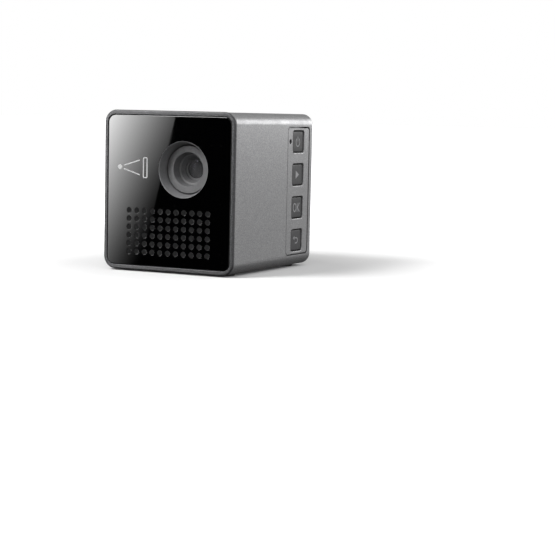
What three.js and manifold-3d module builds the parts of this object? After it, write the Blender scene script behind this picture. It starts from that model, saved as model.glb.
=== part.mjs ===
// A palm-sized cube projector, in millimetres. +Z is up, -Y is the lens side, +X is the key side.
// The origin is on the surface it stands on, under the middle of the case.
import * as THREE from "three";
import { mergeVertices } from "three/addons/utils/BufferGeometryUtils.js";
import Module from "manifold-3d";

const wasm = await Module();
wasm.setup();

// ---------- Driving dimensions ----------

const WIDTH = 46.5; // across the front bezel
const HEIGHT = 50;
const DEPTH = 55; // bezel face to rear rim
const CORNER = 4; // bezel corner radius
const FOOT = 0.4; // the feet hold the bezel this far off the table
const STEP = 0.2; // the sleeve is this much smaller than the bezel on each side
const WALL = 1.5; // sleeve wall
const SEAM = 0.3; // gap between neighbouring shells
const TOUCH = 0.05; // gap left by glue or paint between pieces that rest on each other

const FRONT = -DEPTH / 2;
const REAR = DEPTH / 2;
const SLEEVE = { width: WIDTH - 2 * STEP, height: HEIGHT - 2 * STEP, corner: CORNER - 2 * STEP };
const INSIDE = {
  width: SLEEVE.width - 2 * WALL,
  height: SLEEVE.height - 2 * WALL,
  corner: SLEEVE.corner - WALL,
};
const SIDE = SLEEVE.width / 2; // outer face of the key side
const BASE = -SLEEVE.height / 2; // outer face of the sleeve's bottom

const RIM = 1.5; // visible rim of the bezel around the black panel
const PANEL = { thick: 1.2, sunk: 0.2 }; // black front panel
const LENS = { x: 5.1, z: 7 }; // optical axis, from the middle of the case
const LENS_HOLE = 9;

const GRILLE = { columns: 11, rows: 6, pitchX: 2.81, pitchZ: 2.58, hole: 0.95, z: -12.7 };

const KEY_NAMES = ["power", "play", "ok", "back"];
const KEY = { width: 7.9, height: 6.7, gap: 0.25, pitch: 10.75, sunk: 0.45, corner: 0.8 };
const KEY_PANEL = { y: 17.15, z: -0.3, width: 15.4, height: 41, corner: 1.1, sunk: 0.12, gap: 0.45 };
const KEY_TRAVEL = 0.3;

const MODULE = 0.5; // gear tooth size
const RING_TEETH = 44;
const WHEEL_TEETH = 30;
const GEAR_CENTRES = (MODULE * (RING_TEETH + WHEEL_TEETH)) / 2;
const WHEEL_TURN = THREE.MathUtils.degToRad(60); // focus wheel, each way
const RING_TURN = (WHEEL_TURN * WHEEL_TEETH) / RING_TEETH;
const FOCUS_TRAVEL = 0.6; // barrel, each way

const FAN = { x: 4, z: 6.4, side: 25, bore: 11.6, front: 18, back: 24.5, hub: 5.2, blades: 7 };
const REAR_SCREW = { x: 14, z: 20.9 };
const DECK = { bottom: -8.6, top: -7.6 }; // main circuit board

// ---------- Geometry helpers ----------

function solid(geometry) {
  const bare = geometry.clone();
  for (const name of ["normal", "uv"]) bare.deleteAttribute(name);
  const merged = mergeVertices(bare, 1e-4);
  const corners = merged.index.array;
  const kept = [];
  for (let i = 0; i < corners.length; i += 3) {
    const [a, b, c] = corners.subarray(i, i + 3);
    if (a !== b && b !== c && a !== c) kept.push(a, b, c);
  }
  const vertProperties = merged.getAttribute("position").array;
  return new wasm.Manifold(new wasm.Mesh({ numProp: 3, vertProperties, triVerts: new Uint32Array(kept) }));
}

function surface(manifold) {
  const { vertProperties, triVerts } = manifold.getMesh();
  return new THREE.BufferGeometry()
    .setAttribute("position", new THREE.BufferAttribute(vertProperties, 3))
    .setIndex(new THREE.BufferAttribute(triVerts, 1));
}

const join = (...pieces) => surface(pieces.map(solid).reduce((all, piece) => all.add(piece)));
const cut = (body, ...tools) => surface(tools.map(solid).reduce((left, tool) => left.subtract(tool), solid(body)));

// A rectangle with rounded corners, centred on (x, y).
function roundedRect(width, height, radius, x = 0, y = 0) {
  const shape = new THREE.Shape();
  const [right, top] = [x + width / 2 - radius, y + height / 2 - radius];
  const [left, bottom] = [x - width / 2 + radius, y - height / 2 + radius];
  shape.moveTo(left, bottom - radius);
  shape.absarc(right, bottom, radius, -Math.PI / 2, 0);
  shape.absarc(right, top, radius, 0, Math.PI / 2);
  shape.absarc(left, top, radius, Math.PI / 2, Math.PI);
  shape.absarc(left, bottom, radius, Math.PI, 1.5 * Math.PI);
  return shape;
}

function circle(radius, x = 0, y = 0) {
  const shape = new THREE.Shape();
  shape.absarc(x, y, radius, 0, 2 * Math.PI);
  return shape;
}

function withHoles(shape, ...holes) {
  shape.holes.push(...holes);
  return shape;
}

// An extrusion from z = 0 to z = depth. A bevel rounds the edges at both ends.
// Each arc of the outline gets twice as many straight pieces as segments.
function extrude(shape, depth, segments = 3, bevel = 0) {
  const options = {
    depth: depth - 2 * bevel,
    curveSegments: segments,
    bevelEnabled: bevel > 0,
    bevelThickness: bevel,
    bevelSize: bevel,
    bevelOffset: -bevel,
    bevelSegments: 2,
  };
  return new THREE.ExtrudeGeometry(shape, options).translate(0, 0, bevel);
}

// Extrusions of a shape drawn as seen from the front (x, z), from the key side (y, z) and from above (x, y).
const alongY = (shape, from, to, segments, bevel) =>
  extrude(shape, to - from, segments, bevel).rotateX(Math.PI / 2).translate(0, to, 0);
const SIDEWAYS = new THREE.Matrix4().makeBasis(
  new THREE.Vector3(0, 1, 0),
  new THREE.Vector3(0, 0, 1),
  new THREE.Vector3(1, 0, 0),
);
const alongX = (shape, from, to, segments, bevel) =>
  extrude(shape, to - from, segments, bevel).applyMatrix4(SIDEWAYS).translate(from, 0, 0);
const alongZ = (shape, from, to, segments, bevel) => extrude(shape, to - from, segments, bevel).translate(0, 0, from);

function box([x0, x1], [y0, y1], [z0, z1]) {
  const block = new THREE.BoxGeometry(x1 - x0, y1 - y0, z1 - z0);
  return block.translate((x0 + x1) / 2, (y0 + y1) / 2, (z0 + z1) / 2);
}

// A body turned about the Y axis from a closed profile of [radius, y] points.
function turned(profile, segments = 32) {
  const points = profile.map(([radius, y]) => new THREE.Vector2(radius, y));
  if (THREE.ShapeUtils.area(points) < 0) points.reverse();
  return new THREE.LatheGeometry([...points, points[0].clone()], segments);
}

const rod = (radius, from, to, segments = 24) =>
  new THREE.CylinderGeometry(radius, radius, to - from, segments).translate(0, (from + to) / 2, 0);

// A spur gear outline with involute tooth thickness, one tooth centred on the given angle.
function gearShape(teeth, toothAngle) {
  const pitch = (MODULE * teeth) / 2;
  const [tip, root] = [pitch + MODULE, pitch - 1.25 * MODULE];
  const base = pitch * Math.cos(THREE.MathUtils.degToRad(20));
  const involute = (radius) => {
    const angle = Math.acos(Math.min(1, base / Math.max(radius, base)));
    return Math.tan(angle) - angle;
  };
  const share = 0.42; // tooth thickness over circular pitch, under a half so that the mesh has backlash
  const halfAngle = (radius) => (share * Math.PI) / teeth + involute(pitch) - involute(radius);
  const outline = [];
  for (let tooth = 0; tooth < teeth; tooth++) {
    const middle = toothAngle + (2 * Math.PI * tooth) / teeth;
    const flank = [
      [root, -halfAngle(root)],
      [tip, -halfAngle(tip)],
      [tip, halfAngle(tip)],
      [root, halfAngle(root)],
    ];
    for (const [radius, turn] of flank)
      outline.push(new THREE.Vector2(radius * Math.cos(middle + turn), radius * Math.sin(middle + turn)));
  }
  return new THREE.Shape(outline);
}

// A closed body through equal sections of corner points, such as a groove cutter or a bent strip.
function loft(sections) {
  const size = sections[0].length;
  const last = (sections.length - 1) * size;
  const index = [];
  for (let s = 0; s < last; s += size)
    for (let i = 0; i < size; i++) {
      const [a, b] = [s + i, s + ((i + 1) % size)];
      index.push(a, b + size, b, a, a + size, b + size);
    }
  for (let i = 1; i < size - 1; i++) index.push(0, i, i + 1, last, last + i + 1, last + i);
  const geometry = new THREE.BufferGeometry();
  geometry.setAttribute("position", new THREE.Float32BufferAttribute(sections.flat(2), 3));
  return geometry.setIndex(index);
}

// ---------- Materials ----------

const finish = (color, roughness, metalness = 0) => new THREE.MeshStandardMaterial({ color, roughness, metalness });
const GUNMETAL = finish(0x8f9194, 0.45, 0.6);
const RIM_GREY = finish(0x77797c, 0.4, 0.5);
const GLOSS_BLACK = finish(0x050506, 0.05);
const BLACK_PLASTIC = finish(0x202124, 0.6);
const GREY_PLASTIC = finish(0x4c4d50, 0.5);
const KEY_GREY = finish(0x565759, 0.5);
const MESH_GREY = finish(0x2e2f31, 0.8);
const RUBBER = finish(0x1b1b1c, 0.9);
const STEEL = finish(0xa8aaac, 0.35, 1);
const ALUMINIUM = finish(0xb4b6b8, 0.4, 1);
const COPPER = finish(0xb0704a, 0.35, 1);
const BRASS = finish(0xb8964f, 0.35, 1);
const BOARD = finish(0x1d4a33, 0.6);
const CHIP = finish(0x151515, 0.5);
const FOIL = finish(0x9a9da3, 0.4, 0.4);
const GLASS = finish(0xdfe8f0, 0.02);
const CABLE = finish(0xc98a3a, 0.5);

function part(name, geometry, material, [x, y, z] = [0, 0, 0]) {
  const mesh = new THREE.Mesh(geometry, material);
  mesh.name = name;
  mesh.position.set(x, y, z);
  return mesh;
}

function group(...children) {
  const made = new THREE.Group();
  made.add(...children);
  return made;
}

// ---------- Case ----------

const RIM_BACK = FRONT + 1.9;
const RIM_EDGE = FRONT + 0.9; // the bezel's outer flank ends here, and a shoulder goes on inside the sleeve's lip
const SHOULDER = 0.75; // the shoulder is this much smaller than the bezel on each side
const LEDGE = FRONT + PANEL.sunk + PANEL.thick + TOUCH; // the black panel rests here
const SLEEVE_FRONT = RIM_EDGE + SEAM;
const REAR_EDGE = 1.2; // rounding of the sleeve's rear rim
const REAR_COVER = { from: REAR - 1.8, to: REAR - 0.4 };

// Screw posts at the rear, joined to the top and bottom walls.
function screwPosts() {
  const [from, to, radius] = [17.5, REAR_COVER.from - TOUCH, 1.7];
  const wall = INSIDE.height / 2 + 0.5;
  return [-1, 1].flatMap((side) =>
    [-1, 1].flatMap((up) => {
      const [x, z] = [side * REAR_SCREW.x, up * REAR_SCREW.z];
      const web = up > 0 ? [z, wall] : [-wall, z];
      return [rod(radius, from, to, 12).translate(x, 0, z), box([x - radius, x + radius], [from, to], web)];
    }),
  );
}

function rearScrewHoles(radius, from, to) {
  return [-1, 1].flatMap((side) =>
    [-1, 1].map((up) => rod(radius, from, to, 12).translate(side * REAR_SCREW.x, 0, up * REAR_SCREW.z)),
  );
}

const WHEEL = { x: LENS.x - GEAR_CENTRES, radius: 10.5, knurls: 40, from: -17.7, to: -15.1 };
const CARD_SLOT = { y: 15.5, z: DECK.top + 0.85, width: 12, height: 1.8 };
const SIDE_VENT = { slots: 6, pitch: 2.6, y: -2, z: 6, length: 15, width: 1.2 };

function bodySleeve() {
  const outline = roundedRect(SLEEVE.width, SLEEVE.height, SLEEVE.corner);
  const shell = join(
    alongY(outline, SLEEVE_FRONT, 10),
    alongY(outline, 0, REAR, 3, REAR_EDGE),
  );
  const hollow = alongY(roundedRect(INSIDE.width, INSIDE.height, INSIDE.corner), FRONT, REAR + 1);
  const lip = roundedRect(WIDTH - 2 * SHOULDER + SEAM, HEIGHT - 2 * SHOULDER + SEAM, CORNER - SHOULDER + SEAM / 2);
  const keyOpening = roundedRect(
    KEY_PANEL.width + 2 * KEY_PANEL.gap,
    KEY_PANEL.height + 2 * KEY_PANEL.gap,
    KEY_PANEL.corner + KEY_PANEL.gap,
    KEY_PANEL.y,
    KEY_PANEL.z,
  );
  const leftWall = [-SIDE - 1, -SIDE + WALL + 0.5];
  const wheelSlot = roundedRect(WHEEL.to - WHEEL.from + 0.6, 14.4, 1.4, (WHEEL.from + WHEEL.to) / 2, LENS.z);
  const cardSlot = roundedRect(CARD_SLOT.width, CARD_SLOT.height, 0.6, CARD_SLOT.y, CARD_SLOT.z);
  const vents = Array.from({ length: SIDE_VENT.slots }, (_, i) => {
    const y = SIDE_VENT.y + (i - (SIDE_VENT.slots - 1) / 2) * SIDE_VENT.pitch;
    return alongX(roundedRect(SIDE_VENT.width, SIDE_VENT.length, SIDE_VENT.width / 2 - 0.01, y, SIDE_VENT.z), ...leftWall, 1);
  });
  const hollowed = cut(shell, hollow, alongY(lip, FRONT, RIM_BACK + TOUCH));
  return cut(
    join(hollowed, ...screwPosts()),
    alongX(keyOpening, SIDE - WALL - 1, SIDE + 1),
    alongX(wheelSlot, ...leftWall, 2),
    alongX(cardSlot, ...leftWall, 1),
    ...vents,
    alongZ(circle(INSERT.body + 0.15), BASE - 1, BASE + WALL + 0.5, 10),
    ...rearScrewHoles(0.9, 19, REAR),
  );
}

function frontBezel() {
  const rim = alongY(roundedRect(WIDTH, HEIGHT, CORNER), FRONT, RIM_EDGE, 3, 0.4);
  const shoulder = alongY(
    roundedRect(WIDTH - 2 * SHOULDER, HEIGHT - 2 * SHOULDER, CORNER - SHOULDER),
    FRONT + 0.45,
    RIM_BACK,
  );
  const spigot = alongY(roundedRect(INSIDE.width - SEAM, INSIDE.height - SEAM, INSIDE.corner), RIM_BACK - 0.6, FRONT + 5);
  const seat = alongY(roundedRect(WIDTH - 2 * RIM, HEIGHT - 2 * RIM, CORNER - RIM), FRONT - 1, LEDGE);
  const through = alongY(roundedRect(INSIDE.width - 2.7, INSIDE.height - 2.7, 1.4), FRONT - 1, FRONT + 6, 2);
  return cut(join(rim, shoulder, spigot), seat, through);
}

function grilleHoles(radius) {
  const holes = [];
  for (let row = 0; row < GRILLE.rows; row++)
    for (let column = 0; column < GRILLE.columns; column++) {
      const x = (column - (GRILLE.columns - 1) / 2) * GRILLE.pitchX;
      const z = GRILLE.z + ((GRILLE.rows - 1) / 2 - row) * GRILLE.pitchZ;
      holes.push(circle(radius, x, z));
    }
  return holes;
}

function frontPanel() {
  const play = 0.2; // glue gap to the bezel
  const outline = roundedRect(WIDTH - 2 * RIM - 2 * play, HEIGHT - 2 * RIM - 2 * play, CORNER - RIM - play);
  const front = FRONT + PANEL.sunk;
  const plate = alongY(withHoles(outline, ...grilleHoles(GRILLE.hole)), front, front + PANEL.thick, 3);
  return cut(plate, rod(LENS_HOLE, FRONT - 1, FRONT + 3, 40).translate(LENS.x, 0, LENS.z));
}

function grilleMesh() {
  return alongY(roundedRect(31, 16, 1, 0, GRILLE.z), LEDGE + 0.1, LEDGE + 0.4, 2);
}

const USB = { x: -13, z: -10.1, width: 7.6, height: 2.8 };
const VIDEO = { x: 0, z: -10.4, width: 10.6, height: 3.3 };
const AV = { x: 11.6, z: -11.6, outer: 2.9, bore: 1.8 };

function rearCover() {
  const plate = roundedRect(INSIDE.width - SEAM, INSIDE.height - SEAM, INSIDE.corner - SEAM / 2);
  const slots = Array.from({ length: 8 }, (_, i) => {
    const slot = roundedRect(23, 1.5, 0.74, FAN.x, FAN.z + (i - 3.5) * 2.7);
    return alongY(slot, REAR_COVER.from - 1, REAR, 1);
  });
  const ports = [USB, VIDEO].map((p) => roundedRect(p.width + 0.8, p.height + 0.8, 0.8, p.x, p.z));
  return cut(
    alongY(withHoles(plate, ...ports), REAR_COVER.from, REAR_COVER.to, 2),
    ...slots,
    rod(AV.outer + 0.3, REAR_COVER.from - 1, REAR, 20).translate(AV.x, 0, AV.z),
    ...rearScrewHoles(1, REAR_COVER.from - 1, REAR),
    ...rearScrewHoles(1.6, REAR_COVER.to - 0.9, REAR),
  );
}

function rearScrew() {
  const [seat, top] = [REAR_COVER.to - 0.9 + TOUCH, REAR_COVER.to - 0.1];
  const recess = box([-0.9, 0.9], [top - 0.5, top + 1], [-0.22, 0.22]);
  const screw = join(rod(1.4, seat, top, 12), rod(0.75, seat - 5, seat + 0.1, 8));
  return cut(screw, recess, recess.clone().rotateY(Math.PI / 2));
}

const FOOT_PLACE = { x: 16.5, y: 20, radius: 3.2 };
const INSERT = { body: 4.5, flange: 5.8, hole: 3 };

function rubberFoot() {
  const height = FOOT + STEP - TOUCH / 2;
  const profile = [
    [0, 0],
    [FOOT_PLACE.radius - 0.3, 0],
    [FOOT_PLACE.radius, 0.3],
    [FOOT_PLACE.radius, height],
    [0, height],
  ];
  return turned(profile, 14).rotateX(Math.PI / 2);
}

function tripodInsert() {
  const inner = -SLEEVE.height / 2 + WALL + TOUCH;
  const body = alongZ(circle(INSERT.body), BASE, BASE + 4, 10);
  const flange = alongZ(circle(INSERT.flange), inner, inner + 1, 3);
  return cut(join(body, flange), alongZ(circle(INSERT.hole), BASE - 1, BASE + 5, 8));
}

const feet = [-1, 1].flatMap((side) =>
  [-1, 1].map((back) => {
    const name = `foot_${back < 0 ? "front" : "rear"}_${side < 0 ? "left" : "right"}`;
    return part(name, rubberFoot(), RUBBER, [side * FOOT_PLACE.x, back * FOOT_PLACE.y, -HEIGHT / 2 - FOOT]);
  }),
);

const rearScrews = [-1, 1].flatMap((side) =>
  [-1, 1].map((up) => {
    const name = `rear_screw_${up > 0 ? "top" : "bottom"}_${side < 0 ? "left" : "right"}`;
    return part(name, rearScrew(), STEEL, [side * REAR_SCREW.x, 0, up * REAR_SCREW.z]);
  }),
);

const shell = group(
  part("body_sleeve", bodySleeve(), GUNMETAL),
  part("front_bezel", frontBezel(), RIM_GREY),
  part("front_panel", frontPanel(), GLOSS_BLACK),
  part("grille_mesh", grilleMesh(), MESH_GREY),
  part("rear_cover", rearCover(), BLACK_PLASTIC),
  part("tripod_insert", tripodInsert(), BRASS),
  ...rearScrews,
  ...feet,
);

// ---------- Keys ----------

const KEY_FACE = SIDE - KEY.sunk;
const KEY_BACK = SIDE - 3.25;
const PLUNGER_BACK = KEY_BACK - 1.2; // inside the switch, clear of its bottom by the key's travel and more
const SWITCH = { side: 4.4, from: SIDE - 5.3, to: SIDE - 4.1 };
const KEY_BOARD = { from: SIDE - 6.15, to: SWITCH.from - TOUCH };
const keyZ = (i) => KEY_PANEL.z + (1.5 - i) * KEY.pitch;
const LED = { y: 11.2, z: keyZ(0), hole: 0.8 };

function keyPanel() {
  const outline = ({ width, height, corner }, grow) =>
    roundedRect(width + grow, height + grow, corner + grow / 2, KEY_PANEL.y, KEY_PANEL.z);
  const plate = alongX(outline(KEY_PANEL, 0), SIDE - WALL - 0.2, SIDE - KEY_PANEL.sunk, 2);
  const flange = alongX(outline(KEY_PANEL, 1.4), SIDE - 2.2, SIDE - WALL - 0.1, 1);
  const windows = KEY_NAMES.map((_, i) =>
    alongX(
      roundedRect(KEY.width + 2 * KEY.gap, KEY.height + 2 * KEY.gap, KEY.corner + KEY.gap, KEY_PANEL.y, keyZ(i)),
      SIDE - 4,
      SIDE + 1,
      2,
    ),
  );
  const ledHole = alongX(circle(LED.hole, LED.y, LED.z), SIDE - 4, SIDE + 1, 6);
  return cut(join(plate, flange), ...windows, ledHole);
}

function keyCap() {
  const cap = alongX(roundedRect(KEY.width, KEY.height, KEY.corner), KEY_BACK, KEY_FACE, 2, 0.2);
  const stop = alongX(roundedRect(KEY.width + 1.6, KEY.height + 1.4, KEY.corner), KEY_BACK, KEY_BACK + 0.6, 1);
  const plunger = alongX(circle(0.9), PLUNGER_BACK, KEY_BACK + 0.1, 4);
  return join(cap, stop, plunger);
}

function switchBody() {
  const body = alongX(roundedRect(SWITCH.side, SWITCH.side, 0.4), SWITCH.from, SWITCH.to, 1);
  return cut(body, alongX(circle(1.05), SWITCH.from + 0.35, SWITCH.to + 1, 5));
}

const keys = group(
  part("key_panel", keyPanel(), GUNMETAL),
  part("key_board", alongX(roundedRect(13.5, 40, 0.8, KEY_PANEL.y, KEY_PANEL.z), KEY_BOARD.from, KEY_BOARD.to, 1), BOARD),
  part("status_light_pipe", alongX(circle(LED.hole - 0.1, LED.y, LED.z), SWITCH.from + 1, KEY_FACE, 6), BLACK_PLASTIC),
  ...KEY_NAMES.flatMap((name, i) => {
    const place = [0, KEY_PANEL.y, keyZ(i)];
    return [
      part(`key_${name}`, keyCap(), KEY_GREY, place),
      part(`key_switch_${name}`, switchBody(), BLACK_PLASTIC, place),
    ];
  }),
);

// ---------- Lens and focus drive, about the optical axis ----------

const RING = { front: -21.4, back: -18.1, bore: 7.65 };
const BARREL = { front: -24, flange: 7.45, body: 6.35, rear: -10.6 };
const TUBE = { inner: 6.6, outer: 7.35, shoulder: 7.9, front: -21, rear: -12.7 };
const PIN = { radius: 0.5, y: -19.75, from: 6, to: 8.6 };

function lensTrim() {
  return turned(
    [
      [8.55, FRONT],
      [8.85, FRONT + 0.15],
      [8.85, LEDGE],
      [10.6, LEDGE],
      [10.6, LEDGE + 1],
      [8.85, LEDGE + 1],
      [8.85, RING.front - SEAM],
      [7.75, RING.front - SEAM],
      [7.75, -24.2],
    ],
    32,
  );
}

function lensBarrel() {
  const { front, flange, body, rear } = BARREL;
  const shell = turned(
    [
      [flange, front + 0.3],
      [flange, front + 2],
      [body, front + 2],
      [body, rear],
      [4.2, rear],
      [4.2, front + 5.5],
      [3.2, front + 5.2],
      [3.4, front + 4.6],
      [4.0, front + 4.2],
      [4.3, front + 2.2],
      [4.9, front + 1.9],
      [5.2, front],
      [flange - 0.3, front],
    ],
    28,
  );
  const pin = new THREE.CylinderGeometry(PIN.radius, PIN.radius, PIN.to - PIN.from, 12);
  return join(shell, pin.rotateX(Math.PI / 2).translate(0, PIN.y, (PIN.from + PIN.to) / 2));
}

// The ring's inner groove carries the barrel's pin: turning the ring slides the barrel.
function camGroove() {
  const steps = 14;
  const width = PIN.radius + 0.15;
  const lead = FOCUS_TRAVEL / RING_TURN;
  const sections = Array.from({ length: steps + 1 }, (_, i) => {
    const turn = (RING_TURN + 0.2) * ((2 * i) / steps - 1);
    const y = PIN.y - lead * turn;
    const at = (radius, offset) => [radius * Math.sin(turn), y + offset, radius * Math.cos(turn)];
    return [at(7, -width), at(9, -width), at(9, width), at(7, width)];
  });
  return loft(sections);
}

function focusRing() {
  const ring = alongY(withHoles(gearShape(RING_TEETH, Math.PI), circle(RING.bore)), RING.front, RING.back, 12);
  return cut(ring, camGroove());
}

function lensTube() {
  const { inner, outer, shoulder, front, rear } = TUBE;
  const tube = turned([
    [inner, front],
    [outer, front],
    [outer, RING.back + 0.2],
    [shoulder, RING.back + 0.2],
    [shoulder, rear - 1.3],
    [9.6, rear - 1.3],
    [9.6, rear],
    [inner, rear],
  ], 28);
  const reach = FOCUS_TRAVEL + PIN.radius + 0.2;
  return cut(tube, box([-PIN.radius - 0.2, PIN.radius + 0.2], [front - 1, PIN.y + reach], [inner - 1, outer + 1]));
}

// A lens disc with domed faces: sag is how far the dome stands out at the axis.
function lensElement(radius, from, to, sag, arc = 3) {
  const dome = (y, side) =>
    Array.from({ length: arc }, (_, i) => {
      const r = (radius * i) / arc;
      return [r, y + side * sag * (1 - (r / radius) ** 2)];
    });
  const profile = [...dome(from, -1), [radius, from], [radius, to], ...dome(to, 1).reverse()];
  return turned(profile, 20);
}

function wheelAxle() {
  return turned([[0, -22.2], [2, -22.2], [2, RING.front - 0.2], [1, RING.front - 0.2], [1, -11.2], [0, -11.2]], 12);
}

function focusWheel() {
  const points = Array.from({ length: 2 * WHEEL.knurls }, (_, i) => {
    const radius = WHEEL.radius - (i % 2 ? 0.35 : 0);
    const turn = (Math.PI * i) / WHEEL.knurls;
    return new THREE.Vector2(radius * Math.cos(turn), radius * Math.sin(turn));
  });
  const rim = alongY(new THREE.Shape(points), WHEEL.from, WHEEL.to);
  const gear = alongY(gearShape(WHEEL_TEETH, Math.PI / WHEEL_TEETH), RING.front, RING.back);
  const hub = rod(5, RING.back - 0.5, WHEEL.from + 0.5, 16);
  return cut(join(gear, hub, rim), rod(1.15, RING.front - 1, WHEEL.to + 1, 12));
}

const focusWheelPlace = [-GEAR_CENTRES, 0, 0];
const lens = group(
  part("lens_trim_ring", lensTrim(), GREY_PLASTIC),
  part("lens_barrel", lensBarrel(), GREY_PLASTIC),
  part("front_lens", lensElement(4.05, -18.25, -16.4, 0.55), GLASS),
  part("rear_lens", lensElement(4.05, -12.9, -11.2, 0.4), GLASS),
  part("lens_tube", lensTube(), BLACK_PLASTIC),
  part("focus_ring", focusRing(), BLACK_PLASTIC),
  part("focus_wheel", focusWheel(), RUBBER, focusWheelPlace),
  part("focus_wheel_axle", wheelAxle(), STEEL, focusWheelPlace),
);
lens.position.set(LENS.x, 0, LENS.z);

// ---------- Light engine ----------

const ENGINE = { x: [-8, 16], y: [-10.5, 9], z: [-3.5, 17.5], wall: 1.5, plate: -12.6 };

function engineHousing() {
  const { x, y, z, wall, plate } = ENGINE;
  const block = join(box(x, y, z), box([-17.2, 15], [plate, y[0] + 0.5], [-3.5, 17.5]));
  const cavity = box([x[0] + wall, x[1] - wall], [y[0] + wall, y[1] - wall], [z[0] + wall, z[1] + 1]);
  return cut(
    block,
    cavity,
    rod(7, plate - 1, y[0] + wall + 1, 28).translate(LENS.x, 0, LENS.z),
    rod(1.1, plate - 1, y[0] + 1, 12).translate(WHEEL.x, 0, LENS.z),
    box([x[0] - 1, x[0] + wall + 1], [-5.5, -0.5], [LENS.z - 2.5, LENS.z + 2.5]),
    box([-6.5, -1.7], [y[1] - wall - 1, y[1] + 1], [LENS.z - 2.4, LENS.z + 2.4]),
    box([-0.4, 10.6], [y[1] - wall - 1, y[1] + 1], [LENS.z - 3.4, LENS.z + 3.4]),
  );
}

function heatsink() {
  const [front, base, back] = [10.9, 12.4, 17.2];
  const [left, right, fins, thick] = [-8, 16, 10, 0.8];
  const pitch = (right - left - thick) / (fins - 1);
  const plates = Array.from({ length: fins }, (_, i) =>
    box([left + i * pitch, left + i * pitch + thick], [base - 0.2, back], [-3, 17]),
  );
  return join(box([left, right], [front, base], [-3, 17]), ...plates);
}

function engineBracket() {
  const [floor, top] = [ENGINE.z[0] - 1.6, ENGINE.z[0] - TOUCH];
  const legs = [ENGINE.x[0], ENGINE.x[1] - 1.5].flatMap((x) =>
    [-9, 7].map((y) => box([x, x + 1.5], [y, y + 1.5], [DECK.top + TOUCH, top])),
  );
  return join(box(ENGINE.x, [-9, 8.5], [floor, top]), ...legs);
}

// The dichroic plate stands at 45 degrees to the two light paths that it joins.
function dichroicPlate() {
  return new THREE.BoxGeometry(5.2, 0.5, 5).rotateZ(Math.PI / 4).translate(-3.9, -3, LENS.z);
}

const [ENGINE_LEFT, ENGINE_BACK] = [ENGINE.x[0] - TOUCH, ENGINE.y[1] + TOUCH];
const engine = group(
  part("engine_housing", engineHousing(), ALUMINIUM),
  part("engine_lid", box(ENGINE.x, ENGINE.y, [ENGINE.z[1] + TOUCH, ENGINE.z[1] + 0.9]), ALUMINIUM),
  part("engine_bracket", engineBracket(), STEEL),
  part("relay_prism", box([0.8, 9.8], [-7.2, 2.2], [LENS.z - 4.5, LENS.z + 4.5]), GLASS),
  part("condenser_lens", lensElement(3.4, -0.9, 0.1, 0.5).rotateZ(Math.PI / 2).translate(-0.9, -3, LENS.z), GLASS),
  part("dichroic_plate", dichroicPlate(), GLASS),
  part("micromirror_chip", box([0, 10.2], [6.6, 8.9], [LENS.z - 3, LENS.z + 3]), CHIP),
  part("micromirror_board", box([-1, 12], [ENGINE_BACK, 10.1], [LENS.z - 6, LENS.z + 6]), BOARD),
  part("micromirror_flex", box([0.5, 9.5], [9.4, 9.7], [DECK.top + 1.3, LENS.z - 6.1]), CABLE),
  part("led_module_green", box([ENGINE_LEFT - 1.4, ENGINE_LEFT], [-6.5, 0.5], [LENS.z - 3.5, LENS.z + 3.5]), FOIL),
  part("led_module_red_blue", box([-7.4, -1.2], [ENGINE_BACK, 10.4], [LENS.z - 3.5, LENS.z + 3.5]), FOIL),
  part("heat_spreader", box([-10.9, ENGINE_LEFT - 1.5], [-8, 12.4], [0, 14]), COPPER),
  part("heatsink", heatsink(), ALUMINIUM),
);

// ---------- Fan ----------

function fanFrame() {
  const { side, bore, front, back, hub } = FAN;
  const frame = cut(alongY(roundedRect(side, side, 1.5), front, back, 1), rod(bore, front - 1, back + 1, 32));
  const struts = [0, 1, 2].map((i) =>
    box([-0.8, 0.8], [back - 1, back], [0, bore + 0.4]).rotateY((2 * Math.PI * i) / 3),
  );
  return join(frame, rod(hub, back - 1, back), ...struts);
}

function fanRotor() {
  const { bore, front, back, hub, blades } = FAN;
  const middle = (front + back - 1) / 2;
  const blade = new THREE.BoxGeometry(bore - hub, 0.5, 4.4);
  const fan = Array.from({ length: blades }, (_, i) =>
    blade
      .clone()
      .rotateX(THREE.MathUtils.degToRad(50))
      .translate((bore + hub) / 2 - 0.6, middle, 0)
      .rotateY((2 * Math.PI * i) / blades),
  );
  return join(rod(hub, front + 0.4, back - 1.5), ...fan);
}

const cooling = group(
  part("fan_frame", fanFrame(), BLACK_PLASTIC),
  part("fan_rotor", fanRotor(), BLACK_PLASTIC),
);
cooling.position.set(FAN.x, 0, FAN.z);

// ---------- Circuit board, ports, battery and speaker ----------

const BATTERY = { x: [-17.5, 14.5], y: [-16.5, 14], z: [-19.3, -11.2] };

function socketShell({ x, z, width, height }, length, wall = 0.4) {
  const back = REAR_COVER.from + 0.4;
  const outer = alongY(roundedRect(width, height, 0.7, x, z), back - length, back, 2);
  const inner = roundedRect(width - 2 * wall, height - 2 * wall, 0.5, x, z);
  const tongue = box([x - width / 2 + 1.6, x + width / 2 - 1.6], [back - length, back - 0.8], [z - 0.2, z + 0.3]);
  return join(cut(outer, alongY(inner, back - length + 1, back + 1, 2)), tongue);
}

function avJack() {
  const { x, z, outer, bore } = AV;
  const back = REAR_COVER.from + 0.9;
  const body = box([x - 3.1, x + 3.1], [back - 11, REAR_COVER.from - 0.2], [z - 2.9, DECK.bottom - TOUCH]);
  const nose = rod(outer, back - 4, back, 20).translate(x, 0, z);
  return cut(join(body, nose), rod(bore, back - 10, back + 1, 16).translate(x, 0, z));
}

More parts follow.
